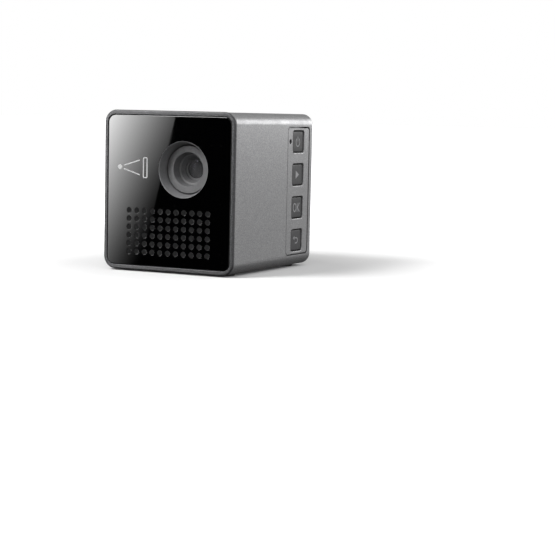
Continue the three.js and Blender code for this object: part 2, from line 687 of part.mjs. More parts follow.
function cardSocket() {
  const { y, z, width, height } = CARD_SLOT;
  const body = box([-SIDE + WALL + 0.2, -9.2], [y - width / 2 - 0.6, y + width / 2 + 0.6], [DECK.top + TOUCH, z + height / 2]);
  return cut(body, box([-SIDE, -10.2], [y - width / 2 + 0.4, y + width / 2 - 0.4], [z - 0.45, z + 0.5]));
}

function batteryTray() {
  const { x, y, z } = BATTERY;
  const [floor, lift] = [z[0] - 1, -INSIDE.height / 2 + TOUCH];
  const walls = [
    [x[0] - 1.1, x[0] - 0.3],
    [x[1] + 0.3, x[1] + 1.1],
  ].map((span) => box(span, y, [floor, DECK.bottom - TOUCH]));
  const pads = [x[0] - 1, x[1] - 3].flatMap((left) =>
    [y[0] + 1, y[1] - 5].map((near) => box([left, left + 4], [near, near + 4], [lift, floor + 0.2])),
  );
  return join(box([x[0] - 1.1, x[1] + 1.1], y, [floor, z[0] - 0.1]), ...walls, ...pads);
}

// Flat two-wire lead from the battery's top edge round to its connector on the board.
function batteryLead() {
  const route = [
    [-16.6, -15],
    [-18, -15],
    [-18.9, -14],
    [-18.9, -8],
    [-18, -6.6],
    [-16.9, -6.6],
  ];
  const thick = 0.35;
  const sections = route.map(([y, z], i) => {
    const [before, after] = [route[Math.max(i - 1, 0)], route[Math.min(i + 1, route.length - 1)]];
    const along = new THREE.Vector2(after[0] - before[0], after[1] - before[1]).normalize();
    const [ny, nz] = [-along.y * thick, along.x * thick];
    const at = (x, side) => [x, y + side * ny, z + side * nz];
    return [at(9, -1), at(12, -1), at(12, 1), at(9, 1)];
  });
  return loft(sections);
}

function speakerFrame() {
  const outline = roundedRect(30, 13.4, 3, 0, GRILLE.z);
  const body = alongY(outline, -25.3, -20.3, 2);
  return cut(body, alongY(roundedRect(26, 10.4, 4, 0, GRILLE.z), -26, -23.6, 3));
}

const ON_DECK = DECK.top + TOUCH;
const electronics = group(
  part("main_board", box([-20.5, 16.6], [-16.5, 25], [DECK.bottom, DECK.top]), BOARD),
  part("processor_shield", box([-5, 11], [-7, 6], [ON_DECK, DECK.top + 2.1]), STEEL),
  part("usb_socket", socketShell(USB, 5.6), STEEL),
  part("video_socket", socketShell(VIDEO, 8), STEEL),
  part("av_jack", avJack(), BLACK_PLASTIC),
  part("card_socket", cardSocket(), STEEL),
  part("battery", alongZ(roundedRect(32, 30.5, 1.5, -1.5, -1.25), ...BATTERY.z, 1, 0.5), FOIL),
  part("battery_tray", batteryTray(), BLACK_PLASTIC),
  part("battery_lead", batteryLead(), CABLE),
  part("speaker_frame", speakerFrame(), BLACK_PLASTIC),
  part("speaker_diaphragm", alongY(roundedRect(25.4, 9.8, 3.8, 0, GRILLE.z), -24.1, -23.7, 3), FOIL),
);

// ---------- The whole projector ----------

const projector = group(shell, keys, lens, engine, cooling, electronics);
projector.position.z = HEIGHT / 2 + FOOT;

export default projector;
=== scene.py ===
"""The looks of a palm-sized cube projector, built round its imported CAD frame. Lengths are in mm."""

import math

import bpy
from mathutils import Matrix, Vector
from mathutils.geometry import tessellate_polygon


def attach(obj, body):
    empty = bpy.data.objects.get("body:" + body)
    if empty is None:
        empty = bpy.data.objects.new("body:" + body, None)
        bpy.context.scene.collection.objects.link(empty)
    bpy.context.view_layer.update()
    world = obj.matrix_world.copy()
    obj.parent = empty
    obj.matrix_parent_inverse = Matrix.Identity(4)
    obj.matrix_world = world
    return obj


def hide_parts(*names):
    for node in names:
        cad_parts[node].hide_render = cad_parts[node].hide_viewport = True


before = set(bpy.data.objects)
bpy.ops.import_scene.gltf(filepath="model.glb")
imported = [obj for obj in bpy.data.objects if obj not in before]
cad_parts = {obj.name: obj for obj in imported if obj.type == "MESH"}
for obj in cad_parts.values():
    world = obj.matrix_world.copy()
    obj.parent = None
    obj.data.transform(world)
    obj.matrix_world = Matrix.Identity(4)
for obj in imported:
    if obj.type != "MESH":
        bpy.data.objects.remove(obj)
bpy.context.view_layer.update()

MM = 0.001

# ---------- Sizes ----------

# These are the CAD part's, but the rim's width, the seam behind it and the panel's mouth follow the photo.
WIDTH, HEIGHT, DEPTH, CORNER = 46.5, 50.0, 55.0, 4.0
FOOT = 0.4
MIDDLE = FOOT + HEIGHT / 2  # height of the case's centre
STEP = 0.2  # the sleeve is this much smaller than the front frame on each side
WALL = 1.5
TOUCH = 0.05  # gap between pieces that rest on each other
UNDER = 0.001  # one shell of a piece stops this far short of the next
FRONT, REAR = -DEPTH / 2, DEPTH / 2
SLEEVE_W, SLEEVE_H, SLEEVE_R = WIDTH - 2 * STEP, HEIGHT - 2 * STEP, CORNER - 2 * STEP
SIDE = SLEEVE_W / 2  # outer face of the key side
BASE = MIDDLE - SLEEVE_H / 2  # outer face of the sleeve's bottom
INSIDE_W, INSIDE_H, INSIDE_R = SLEEVE_W - 2 * WALL, SLEEVE_H - 2 * WALL, SLEEVE_R - WALL

RIM_X, RIM_Z = 1.2, 1.45  # visible rim of the front frame at the sides, and at the top and bottom
RIM_EDGE, RIM_BACK = FRONT + 0.85, FRONT + 1.9
SHOULDER = 0.75
SLEEVE_FRONT = RIM_EDGE + 0.4
PANEL_FACE, PANEL_BACK = FRONT + 0.2, FRONT + 1.4
LEDGE = PANEL_BACK + TOUCH
MOUTH_BACK = PANEL_FACE + 0.15  # the panel's edge reaches over the funnel, this far back
MOUTH_R, LENS_HOLE = 8.82, 9.0
GRILLE_COLUMNS, GRILLE_ROWS = 11, 6
GRILLE_PITCH_X, GRILLE_PITCH_Z = 2.81, 2.58
GRILLE_HOLE = 0.95
GRILLE_Z = MIDDLE - 12.7

STRIP_Y, STRIP_Z = 17.15, MIDDLE - 0.3
STRIP_W, STRIP_H, STRIP_R = 15.4, 41.0, 1.1
STRIP_FACE, STRIP_BACK, STRIP_GAP = SIDE - 0.12, SIDE - 2.2, 0.45
KEY_NAMES = ("power", "play", "ok", "back")
KEY_W, KEY_H, KEY_R, KEY_GAP, KEY_PITCH = 7.9, 6.7, 0.8, 0.25, 10.75
KEY_FACE, KEY_BACK = SIDE - 0.45, SIDE - 3.25
LED_Y = 11.2

LENS_X, LENS_Z = 5.1, 7.0 + MIDDLE
BARREL_FRONT, BARREL_REAR, BARREL_R = -24.0, -10.6, 6.35
PIN_Y = -19.75
RING_FRONT, RING_BACK = -21.4, -18.1
WHEEL_X = LENS_X - 18.5
WHEEL_FRONT, WHEEL_BACK, WHEEL_R = -17.7, -15.1, 10.5

COVER_FRONT, COVER_BACK = REAR - 1.8, REAR - 0.4
FAN_X, FAN_Z = 4.0, MIDDLE + 6.4
FAN_FRONT, FAN_BACK, FAN_HUB, FAN_TIP, FAN_BLADES = 18.4, 23.0, 5.2, 10.9, 7
SCREW_X, SCREW_Z = 14.0, 20.9
FOOT_X, FOOT_Y, FOOT_R = 16.5, 20, 3.2
INSERT_R, INSERT_FLANGE = 4.5, 5.8
USB_X, USB_Z, USB_W, USB_H = -13.0, MIDDLE - 10.1, 7.6, 2.8
VIDEO_X, VIDEO_Z, VIDEO_W, VIDEO_H = 0.0, MIDDLE - 10.4, 10.6, 3.3
JACK_X, JACK_Z, JACK_R, JACK_BORE = 11.6, MIDDLE - 11.6, 2.9, 1.8
CARD_Y, CARD_Z, CARD_W, CARD_H = 15.5, MIDDLE - 6.75, 12.0, 1.8
CORNER_STEPS = 12


def spread(count, pitch):
    """Places of a centred row."""
    return [(i - (count - 1) / 2) * pitch for i in range(count)]


KEY_Z = {name: STRIP_Z + z for name, z in zip(KEY_NAMES, spread(len(KEY_NAMES), -KEY_PITCH))}

# ---------- Camera ----------

AZIMUTH, ELEVATION, ROLL = math.radians(28.94), math.radians(2.79), math.radians(1.16)
PAN, TILT = math.radians(2.431), math.radians(-3.105)
DISTANCE = 522.6
FOCAL = 104.2


def turn_towards(a, b, angle):
    """a turned by angle towards b, and b turned with it."""
    return a * math.cos(angle) + b * math.sin(angle), b * math.cos(angle) - a * math.sin(angle)


def make_camera():
    level = math.cos(ELEVATION)
    back = Vector((math.sin(AZIMUTH) * level, -math.cos(AZIMUTH) * level, math.sin(ELEVATION)))
    ahead = -back
    right = ahead.cross(Vector((0, 0, 1))).normalized()
    up = right.cross(ahead)
    ahead, right = turn_towards(ahead, right, PAN)
    ahead, up = turn_towards(ahead, up, TILT)
    right, up = turn_towards(right, up, ROLL)
    data = bpy.data.cameras.new("camera")
    data.sensor_width, data.lens = 36.0, FOCAL
    data.clip_start, data.clip_end = 0.01, 20
    camera = bpy.data.objects.new("camera", data)
    turn = Matrix((right, up, -ahead)).transposed().to_4x4()
    place = (Vector((0, 0, MIDDLE)) + back * DISTANCE) * MM
    camera.matrix_world = Matrix.Translation(place) @ turn
    bpy.context.scene.collection.objects.link(camera)
    bpy.context.scene.camera = camera
    return place / MM


eye = make_camera()

# ---------- Materials ----------


RANGE_ENDS = ("From Min", "From Max", "To Min", "To Max")


def add_node(tree, kind, inputs=(), **properties):
    node = tree.nodes.new(kind)
    for key, value in properties.items():
        setattr(node, key, value)
    for key, value in dict(inputs).items():
        if isinstance(value, bpy.types.NodeSocket):
            tree.links.new(value, node.inputs[key])
        else:
            node.inputs[key].default_value = value
    return node


class Shader:
    """A Principled material and short ways to add nodes to it. Its textures lie in the object's own mm."""

    def __init__(self, name, color=None, rough=None, **sockets):
        self.material = bpy.data.materials.new(name)
        self.material.use_nodes = True
        self.tree = self.material.node_tree
        self.nodes, self.links = self.tree.nodes, self.tree.links
        self.bsdf = self.nodes["Principled BSDF"]
        if color is not None:
            self.bsdf.inputs["Base Color"].default_value = (*color, 1)
        if rough is not None:
            self.bsdf.inputs["Roughness"].default_value = rough
        for socket, value in sockets.items():
            self.bsdf.inputs[socket.replace("_", " ")].default_value = value
        where = self.add("ShaderNodeTexCoord").outputs["Object"]
        self.mm = self.add("ShaderNodeMapping", {"Vector": where, "Scale": (1 / MM,) * 3}).outputs["Vector"]

    def add(self, kind, inputs=(), **properties):
        return add_node(self.tree, kind, inputs, **properties)

    def noise(self, size, detail=2.0, rough=0.5, stretch=None):
        """Cloudy noise from 0 to 1 with features of about size mm."""
        vector = self.mm
        if stretch:
            vector = self.add("ShaderNodeMapping", {"Vector": vector, "Scale": stretch}).outputs["Vector"]
        inputs = {"Vector": vector, "Scale": 1 / size, "Detail": detail, "Roughness": rough}
        return self.add("ShaderNodeTexNoise", inputs).outputs["Fac"]

    def flakes(self, size):
        """A random value for each little cell of about size mm."""
        inputs = {"Vector": self.mm, "Scale": 1 / size}
        cells = self.add("ShaderNodeTexVoronoi", inputs)
        return self.add("ShaderNodeSeparateColor", {"Color": cells.outputs["Color"]}).outputs["Red"]

    def span(self, value, low, high, from_low=0.0, from_high=1.0):
        """value brought from one range to another."""
        ends = dict(zip(RANGE_ENDS, (from_low, from_high, low, high)))
        return self.add("ShaderNodeMapRange", {"Value": value, **ends}).outputs["Result"]

    def mix(self, fac, a, b):
        node = self.add("ShaderNodeMix", {"Factor": fac}, data_type="RGBA")
        for socket, value in ((node.inputs[6], a), (node.inputs[7], b)):
            if isinstance(value, bpy.types.NodeSocket):
                self.links.new(value, socket)
            else:
                socket.default_value = (*value, 1)
        return node.outputs[2]

    def set(self, socket, value):
        self.links.new(value, self.bsdf.inputs[socket])
        return self

    def bump(self, height, depth, strength=1.0, after=None):
        """A bump of depth mm, laid over the bump before it."""
        inputs = {"Height": height, "Distance": depth * MM, "Strength": strength}
        if after is not None:
            inputs["Normal"] = after
        normal = self.add("ShaderNodeBump", inputs).outputs["Normal"]
        self.links.new(normal, self.bsdf.inputs["Normal"])
        return normal


def paint(name, dark, light, metal, rough_low, rough_high):
    """Metallic paint: fine flakes in a slightly cloudy coat with a faint orange peel."""
    s = Shader(name, Metallic=metal, Coat_Weight=0.12, Coat_Roughness=0.25)
    grain = s.noise(0.35, 3.0, 0.7)
    flake = s.span(s.flakes(0.16), 0, 1, 0.55, 1.0)
    coat = s.mix(s.span(grain, 0, 1, 0.3, 0.7), dark, light)
    glint = s.mix(s.span(flake, 0.0, 0.35), coat, [min(1.0, c * 2.4) for c in light])
    s.set("Base Color", glint)
    cloud = s.noise(4.0, 2.0)
    s.set("Roughness", s.span(cloud, rough_low, rough_high, 0.3, 0.7))
    peel = s.bump(s.noise(0.5, 2.0), 0.006, 0.6)
    s.bump(s.flakes(0.16), 0.004, 0.45, peel)
    return s.material


def plastic(name, color, rough, grain=0.25, depth=0.01, vary=0.2):
    """Moulded plastic: spark-eroded grain, with roughness and shade that change a little."""
    s = Shader(name)
    light = [c * (1 + vary) for c in color]
    dark = [c * (1 - vary) for c in color]
    s.set("Base Color", s.mix(s.span(s.noise(grain * 6, 3.0), 0, 1, 0.3, 0.7), dark, light))
    s.set("Roughness", s.span(s.noise(grain * 12, 2.0), rough - 0.05, rough + 0.06, 0.3, 0.7))
    s.bump(s.noise(grain, 3.0, 0.7), depth)
    return s.material


def metal(name, color, rough, stretch=(1, 1, 1), size=0.4, depth=0.002):
    """Bare metal. stretch above 1 along two axes draws the grain out along the third."""
    s = Shader(name, Metallic=1.0)
    grain = s.noise(size, 4.0, 0.6, stretch)
    s.set("Base Color", s.mix(grain, [c * 0.82 for c in color], color))
    s.set("Roughness", s.span(grain, rough - 0.08, rough + 0.1, 0.3, 0.7))
    s.bump(grain, depth)
    return s.material


def gloss_panel():
    """Black glass: a trace of dust and the faint smears of handling."""
    s = Shader("gloss_black", IOR=1.95)
    dust = s.span(s.flakes(0.5), 0, 1, 0.985, 1.0)
    s.set("Base Color", s.mix(dust, (0.0006, 0.0006, 0.0007), (0.004, 0.004, 0.004)))
    smear = s.noise(9.0, 3.0, 0.6)
    s.set("Roughness", s.span(smear, 0.012, 0.035, 0.35, 0.7))
    return s.material


def board_green():
    """A circuit board: solder mask over a maze of tracks."""
    s = Shader("board_green")
    inputs = {"Vector": s.mm, "Scale": 0.9, "Mortar Size": 0.03}
    tracks = s.add("ShaderNodeTexBrick", inputs).outputs["Fac"]
    s.set("Base Color", s.mix(tracks, (0.012, 0.075, 0.035), (0.03, 0.14, 0.07)))
    s.set("Roughness", s.span(s.noise(3.0), 0.35, 0.5))
    s.bump(tracks, 0.02)
    return s.material


def knit(name, dark, light, pitch):
    """Woven speaker cloth: two crossed waves of yarn."""
    s = Shader(name, Specular_IOR_Level=0.1)
    waves = []
    for axis in ("X", "Z"):
        inputs = {"Vector": s.mm, "Scale": 1 / (pitch * 1.27)}
        waves.append(s.add("ShaderNodeTexWave", inputs, bands_direction=axis).outputs["Fac"])
    weave = s.add("ShaderNodeMath", {0: waves[0], 1: waves[1]}, operation="MULTIPLY").outputs["Value"]
    s.set("Base Color", s.mix(weave, dark, light))
    s.set("Roughness", s.span(s.noise(2.0), 0.75, 0.9))
    s.bump(weave, 0.08)
    return s.material


def lens_glass(name, tint, coat):
    """Optical glass with a coloured anti-reflection coat."""
    s = Shader(name, tint, 0.0, IOR=1.52, Transmission_Weight=0.82)
    s.bsdf.inputs["Specular Tint"].default_value = (*coat, 1)
    s.set("Roughness", s.span(s.noise(2.5), 0.0, 0.02, 0.4, 0.7))
    return s.material


def rubber():
    s = Shader("rubber")
    s.set("Base Color", s.mix(s.noise(1.2, 4.0), (0.012, 0.012, 0.012), (0.03, 0.03, 0.03)))
    s.set("Roughness", s.span(s.noise(2.5), 0.75, 0.9))
    s.bump(s.noise(0.12, 2.0), 0.02)
    return s.material


PAINT = paint("gunmetal_paint", (0.20, 0.20, 0.205), (0.31, 0.31, 0.315), 0.65, 0.34, 0.44)
RIM_PAINT = paint("bezel_paint", (0.045, 0.045, 0.047), (0.08, 0.08, 0.083), 0.5, 0.42, 0.52)
GLOSS = gloss_panel()
SATIN_BLACK = plastic("satin_black", (0.012, 0.012, 0.013), 0.5)
FUNNEL_GREY = plastic("funnel_grey", (0.15, 0.15, 0.154), 0.5, 0.12, 0.004, 0.08)
BARREL_GREY = plastic("barrel_grey", (0.12, 0.12, 0.123), 0.5, 0.12, 0.004, 0.08)
KEY_GREY = plastic("key_grey", (0.048, 0.048, 0.05), 0.55, 0.1, 0.005, 0.08)
ICON = plastic("icon_grey", (0.33, 0.33, 0.34), 0.5, 0.1, 0.002, 0.05)
PRINT = plastic("print_white", (0.6, 0.6, 0.605), 0.5, 0.1, 0.001, 0.03)
CLOTH = knit("grille_cloth", (0.014, 0.014, 0.014), (0.04, 0.04, 0.041), 0.3)
RUBBER = rubber()
STEEL = metal("steel", (0.55, 0.55, 0.56), 0.32)
DARK_STEEL = metal("dark_steel", (0.16, 0.16, 0.17), 0.38)
TINNED = metal("tinned_steel", (0.62, 0.62, 0.6), 0.28, (1, 6, 6))
ALUMINIUM = metal("aluminium", (0.72, 0.72, 0.74), 0.35, (0.4, 5, 5))
COPPER = metal("copper", (0.78, 0.42, 0.26), 0.3)
BRASS = metal("brass", (0.72, 0.54, 0.26), 0.28)
GOLD = metal("gold_contact", (0.85, 0.62, 0.25), 0.22)
BOARD = board_green()
CHIP = plastic("chip_black", (0.015, 0.015, 0.016), 0.4, 0.08, 0.003)
FOIL = metal("foil", (0.6, 0.61, 0.64), 0.3, (1, 1, 1), 3.0, 0.05)
POLYIMIDE = plastic("polyimide", (0.42, 0.17, 0.02), 0.3, 0.6, 0.004)
FRONT_GLASS = lens_glass("front_glass", (0.55, 0.55, 0.56), (0.1, 0.09, 0.12))
CLEAR_GLASS = lens_glass("clear_glass", (0.95, 0.97, 1.0), (0.7, 0.85, 0.8))

# ---------- Mesh code ----------

FLAT_PULL = 1000.0  # how much more a flat face counts in the normals round it than a rounded one
SHARP = math.radians(32)
SAME = 1e-6  # lengths closer than this count as one


class Build:
    """Collects closed shells, then makes one object of them that rides on a CAD body."""

    def __init__(self):
        self.points, self.faces, self.flat = [], [], []

    def shell(self, points, faces, flat=()):
        """One closed shell, turned outwards by its signed volume. flat numbers its flat-shaded faces."""
        volume = 0.0
        for face in faces:
            a = points[face[0]]
            for i in range(1, len(face) - 1):
                volume += a.dot(points[face[i]].cross(points[face[i + 1]]))
        start = len(self.points)
        self.flat += [len(self.faces) + i for i in flat]
        self.points += points
        self.faces += [[start + i for i in (face if volume > 0 else reversed(face))] for face in faces]
        return self

    def normals(self):
        """A normal for each face corner: the mean of the faces round it that bend by less than SHARP."""
        around, spans = {}, []
        for number, face in enumerate(self.faces):
            first = self.points[face[0]]
            span = Vector()
            for i, j in zip(face[1:], face[2:]):
                span += (self.points[i] - first).cross(self.points[j] - first)
            spans.append(span)
            for i in face:
                around.setdefault(i, []).append(number)
        ways = [span.normalized() for span in spans]
        for number in self.flat:
            spans[number] = spans[number] * FLAT_PULL
        bend = math.cos(SHARP)
        out = []
        for number, face in enumerate(self.faces):
            for i in face:
                near = [spans[other] for other in around[i] if ways[other].dot(ways[number]) > bend]
                out.append(sum(near, Vector()).normalized())
        return out

    def done(self, name, material, nodes=(), slot=None, body="case"):
        mesh = bpy.data.meshes.new(name)
        mesh.from_pydata([p * MM for p in self.points], [], self.faces)
        mesh.materials.append(material)
        mesh.shade_smooth()
        mesh.normals_split_custom_set(self.normals())
        piece = bpy.data.objects.new(name, mesh)
        bpy.context.scene.collection.objects.link(piece)
        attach(piece, body)
        if nodes:
            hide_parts(*nodes)
        return piece


# Three ways to stand a flat drawing (u, v) up, with depth d along the third axis.
def facing_front(u, v, d):
    return Vector((u, d, v))


def facing_side(u, v, d):
    return Vector((d, u, v))


def facing_up(u, v, d):
    return Vector((u, v, d))


def add_ring(points, ring, depth, stand):
    """Stands a 2-D ring up at a depth, adds its points and gives their numbers."""
    points += [stand(u, v, depth) for u, v in ring]
    return range(len(points) - len(ring), len(points))


def band(faces, row, next_row):
    """Quads between two closed rings of point numbers, or triangles where one of them is a single point."""
    count = len(row)
    for i in range(count):
        j = (i + 1) % count
        faces.append(list(dict.fromkeys([row[i], row[j], next_row[j], next_row[i]])))


def bands(faces, rows):
    for row, next_row in zip(rows, rows[1:]):
        band(faces, row, next_row)


def filled(numbers, rings):
    """Triangles of point numbers that fill a 2-D drawing of an outline and its holes."""
    drawing = [[Vector((u, v, 0)) for u, v in ring] for ring in rings]
    return [[numbers[i] for i in triangle] for triangle in tessellate_polygon(drawing)]


def plate(build, contours, stand):
    """A closed shell from contours: lists of (2-D ring, depth), from the first face to the last."""
    points, faces, ends = [], [], ([], [])
    for rings in contours:
        rows = [add_ring(points, ring, depth, stand) for ring, depth in rings]
        bands(faces, rows)
        for end, at in zip(ends, (0, -1)):
            end.append((rows[at], rings[at][0]))
    walls = len(faces)
    for end in ends:
        faces += filled([i for row, _ in end for i in row], [ring for _, ring in end])
    fix_winding(faces)
    return build.shell(points, faces, range(walls, len(faces)))


def slab(build, outlines, near, far, stand):
    """A plate with plain edges."""
    return plate(build, [[(ring, near), (ring, far)] for ring in outlines], stand)


def fix_winding(faces):
    """Turns faces so that each shared edge runs opposite ways in its two faces."""
    by_edge = {}
    for number, face in enumerate(faces):
        for a, b in zip(face, face[1:] + face[:1]):
            by_edge.setdefault(frozenset((a, b)), []).append((number, a))
    settled = set()
    for first in range(len(faces)):
        if first in settled:
            continue
        settled.add(first)
        stack = [first]
        while stack:
            number = stack.pop()
            face = faces[number]
            for a, b in zip(face, face[1:] + face[:1]):
                for other, _ in by_edge[frozenset((a, b))]:
                    if other in settled:
                        continue
                    neighbour = faces[other]
                    pairs = set(zip(neighbour, neighbour[1:] + neighbour[:1]))
                    if (a, b) in pairs:
                        neighbour.reverse()
                    settled.add(other)
                    stack.append(other)


def rounded_rect(w, h, r, u=0.0, v=0.0, steps=8):
    """A function that gives the outline with every side moved in by its argument."""

    def ring(inset=0.0):
        radius = max(r - inset, 0.02)
        half_w, half_h = w / 2 - inset - radius, h / 2 - inset - radius
        out = []
        for corner, (su, sv) in enumerate(((1, -1), (1, 1), (-1, 1), (-1, -1))):
            for step in range(steps + 1):
                a = math.pi / 2 * (corner - 1 + step / steps)
                out.append((u + su * half_w + radius * math.cos(a), v + sv * half_h + radius * math.sin(a)))
        return out

    return ring


def circle(r, u=0.0, v=0.0, steps=48):
    def ring(inset=0.0):
        angles = [2 * math.pi * i / steps for i in range(steps)]
        return [(u + (r - inset) * math.cos(a), v + (r - inset) * math.sin(a)) for a in angles]

    return ring


def eased(ring, near, far, ease_near=0.0, ease_far=0.0, hole=False, steps=4, far_steps=None):
    """Rings from depth near to depth far with both edges rounded off. A hole's edges open outwards."""
    way = -1 if hole else 1
    sign = 1 if far > near else -1
    far_steps = far_steps or steps
    rows = []
    for depth, ease, inwards, count in ((near, ease_near, sign, steps), (far, ease_far, -sign, far_steps)):
        edge = []
        for k in range(count + 1 if ease else 1):
            a = math.pi / 2 * (k / count if ease else 1)
            edge.append((ring(way * ease * (1 - math.sin(a))), depth + inwards * ease * (1 - math.cos(a))))
        rows += edge if depth == near else edge[::-1]
    return rows


def wrapped(build, points, rows, depths):
    """A closed shell whose rows of points come back to the first. Its level bands are shaded flat."""
    faces, flat = [], []
    for row, next_row, here, there in zip(rows, rows[1:] + rows[:1], depths, depths[1:] + depths[:1]):
        if row[0] == row[1] and next_row[0] == next_row[1]:
            continue
        if abs(here - there) < SAME:
            flat += range(len(faces), len(faces) + len(row))
        band(faces, row, next_row)
    return build.shell(points, faces, flat)


def tube(build, rings, stand):
    """A closed shell from rings that come back to the first one, as round a window frame."""
    points = []
    rows = [add_ring(points, ring, depth, stand) for ring, depth in rings]
    return wrapped(build, points, rows, [depth for _, depth in rings])


def rounded_profile(corners, steps=4):
    """The (a, b) points of a closed profile whose corners (a, b, radius) are rounded."""
    out = []
    for i, (a, b, radius) in enumerate(corners):
        here = Vector((a, b))
        if radius <= 0:
            out.append(here)
            continue
        back = (Vector(corners[i - 1][:2]) - here).normalized()
        ahead = (Vector(corners[(i + 1) % len(corners)][:2]) - here).normalized()
        half = back.angle(ahead) / 2
        reach = radius / math.tan(half)
        centre = here + (back + ahead).normalized() * (radius / math.sin(half))
        first, last = here + back * reach - centre, here + ahead * reach - centre
        sweep = first.angle_signed(last)
        for k in range(steps + 1):
            turn = -sweep * k / steps
            out.append(centre + Matrix.Rotation(turn, 2) @ first)
    return out


def lathe(build, corners, u, v, segments, steps=4, stand=facing_front):
    """A closed profile of (radius, depth, rounding) turned about an axis through (u, v)."""
    points, rows = [], []
    profile = rounded_profile(corners, steps)
    for radius, depth in profile:
        if radius < SAME:
            rows.append([len(points)] * segments)
            points.append(stand(u, v, depth))
        else:
            rows.append(add_ring(points, circle(radius, u, v, segments)(), depth, stand))
    return wrapped(build, points, rows, [depth for _, depth in profile])


def rod(build, r, end, root, u, v, stand, ease):
    """A round pin whose free end is eased."""
    return lathe(build, [(0, end, 0), (r, end, ease), (r, root, 0), (0, root, 0)], u, v, 24, 3, stand)


def block(build, low, high, ease):
    """A box with its four upright edges and both ends eased."""
    w, h = high[0] - low[0], high[1] - low[1]
    ring = rounded_rect(w, h, ease * 1.5, (low[0] + high[0]) / 2, (low[1] + high[1]) / 2, 3)
    return plate(build, [eased(ring, low[2], high[2], ease, ease, steps=2)], facing_up)


# ---------- Case ----------


def case_outline(w, h, r):
    return rounded_rect(w, h, r, 0, MIDDLE, CORNER_STEPS)


# How a window's drawing stands on each side of the sleeve, with depth from the outer face inwards.
SLEEVE_SIDES = {
    "right": lambda u, v, depth: Vector((SIDE - depth, u, v)),
    "left": lambda u, v, depth: Vector((depth - SIDE, u, v)),
    "bottom": lambda u, v, depth: Vector((u, v, BASE + depth)),
}


def sleeve_windows():
    """The sleeve's cut-outs: side, outline function, and how far the outer edge is eased."""
    strip = rounded_rect(STRIP_W, STRIP_H, STRIP_R, STRIP_Y, STRIP_Z, 6)
    wheel = rounded_rect(3.2, 14.4, 1.4, (WHEEL_FRONT + WHEEL_BACK) / 2, LENS_Z, 8)
    card = rounded_rect(CARD_W, CARD_H, 0.6, CARD_Y, CARD_Z, 5)
    vents = [rounded_rect(1.2, 15, 0.59, y - 2, MIDDLE + 6, 6) for y in spread(6, 2.6)]
    windows = [("right", lambda inset=0.0: strip(inset - STRIP_GAP), 0.06)]
    windows += [("left", wheel, 0.35), ("left", card, 0.25)] + [("left", vent, 0.2) for vent in vents]
    return windows + [("bottom", circle(INSERT_R + 0.15), 0.15)]


def pierced(points, quad, windows, side, inner):
    """Triangles of a flat side with its windows left open."""
    loops = [list(quad)] + [list(rows[-1] if inner else rows[0]) for rows in windows]
    drawing = [[points[i].xy if side == "bottom" else points[i].yz for i in loop] for loop in loops]
    return filled([i for loop in loops for i in loop], drawing)


def make_sleeve():
    """The extruded sleeve: its wall is a closed loop of rings, and its flat sides carry the cut-outs."""
    wall = case_outline(SLEEVE_W, SLEEVE_H, SLEEVE_R)
    ease, lip, seat = 0.15, SHOULDER - STEP - 0.15, RIM_BACK + TOUCH
    rings = eased(wall, SLEEVE_FRONT, REAR, ease, 0.6, far_steps=8)
    section = [(WALL - ease, REAR), (WALL, REAR - ease), (WALL, seat), (lip, seat), (lip, SLEEVE_FRONT)]
    rings += [(wall(inset), y) for inset, y in section]
    points, faces, flat, windows = [], [], [], []
    rows = [add_ring(points, ring, y, facing_front) for ring, y in rings]
    for side, ring, edge in sleeve_windows():
        stand, cut = SLEEVE_SIDES[side], eased(ring, 0.0, WALL, edge, hole=True)
        windows.append((side, [add_ring(points, outline, depth, stand) for outline, depth in cut]))
    outer, inner = 4, len(rows) - 4  # the bands of the wall's outer and inner faces
    quarter = CORNER_STEPS + 1
    sides = {quarter * i - 1: side for i, side in enumerate(("right", "top", "left", "bottom"), 1)}
    for number, (row, next_row) in enumerate(zip(rows, rows[1:] + rows[:1])):
        quads = []
        band(quads, row, next_row)
        for i, quad in enumerate(quads):
            side = sides.get(i) if number in (outer, inner) else None
            here = [quad]
            if side in SLEEVE_SIDES:
                cuts = [cut for at, cut in windows if at == side]
                here = pierced(points, quad, cuts, side, number == inner)
            if side:
                flat += range(len(faces), len(faces) + len(here))
            faces += here
    for _, cut in windows:
        bands(faces, cut)
    fix_winding(faces)
    return Build().shell(points, faces, flat)


make_sleeve().done("case_sleeve", PAINT, ["body_sleeve"], "body_paint")


def make_bezel():
    """The front frame: a softly rounded rim, the panel's seat and the spigot that goes into the sleeve."""
    whole = case_outline(WIDTH, HEIGHT, CORNER)
    seat = case_outline(WIDTH - 2 * RIM_X, HEIGHT - 2 * RIM_Z, CORNER - RIM_Z)
    spigot = case_outline(INSIDE_W - 0.3, INSIDE_H - 0.3, INSIDE_R)
    opening = case_outline(INSIDE_W - 2.7, INSIDE_H - 2.7, 1.4)()
    back = FRONT + 5
    rings = eased(whole, FRONT, RIM_EDGE, 0.55, 0.25, steps=6, far_steps=3)
    rings += [(whole(SHOULDER), RIM_EDGE), (whole(SHOULDER), RIM_BACK), (spigot(), RIM_BACK)]
    rings += [(spigot(), back - 0.1), (spigot(0.1), back), (opening, back), (opening, LEDGE)]
    rings += eased(seat, LEDGE, FRONT, 0.0, 0.22, hole=True)
    return tube(Build(), rings, facing_front)


make_bezel().done("front_frame", RIM_PAINT, ["front_bezel"], "bezel_paint")


def grille_places():
    for z in spread(GRILLE_ROWS, -GRILLE_PITCH_Z):
        for x in spread(GRILLE_COLUMNS, GRILLE_PITCH_X):
            yield x, GRILLE_Z + z


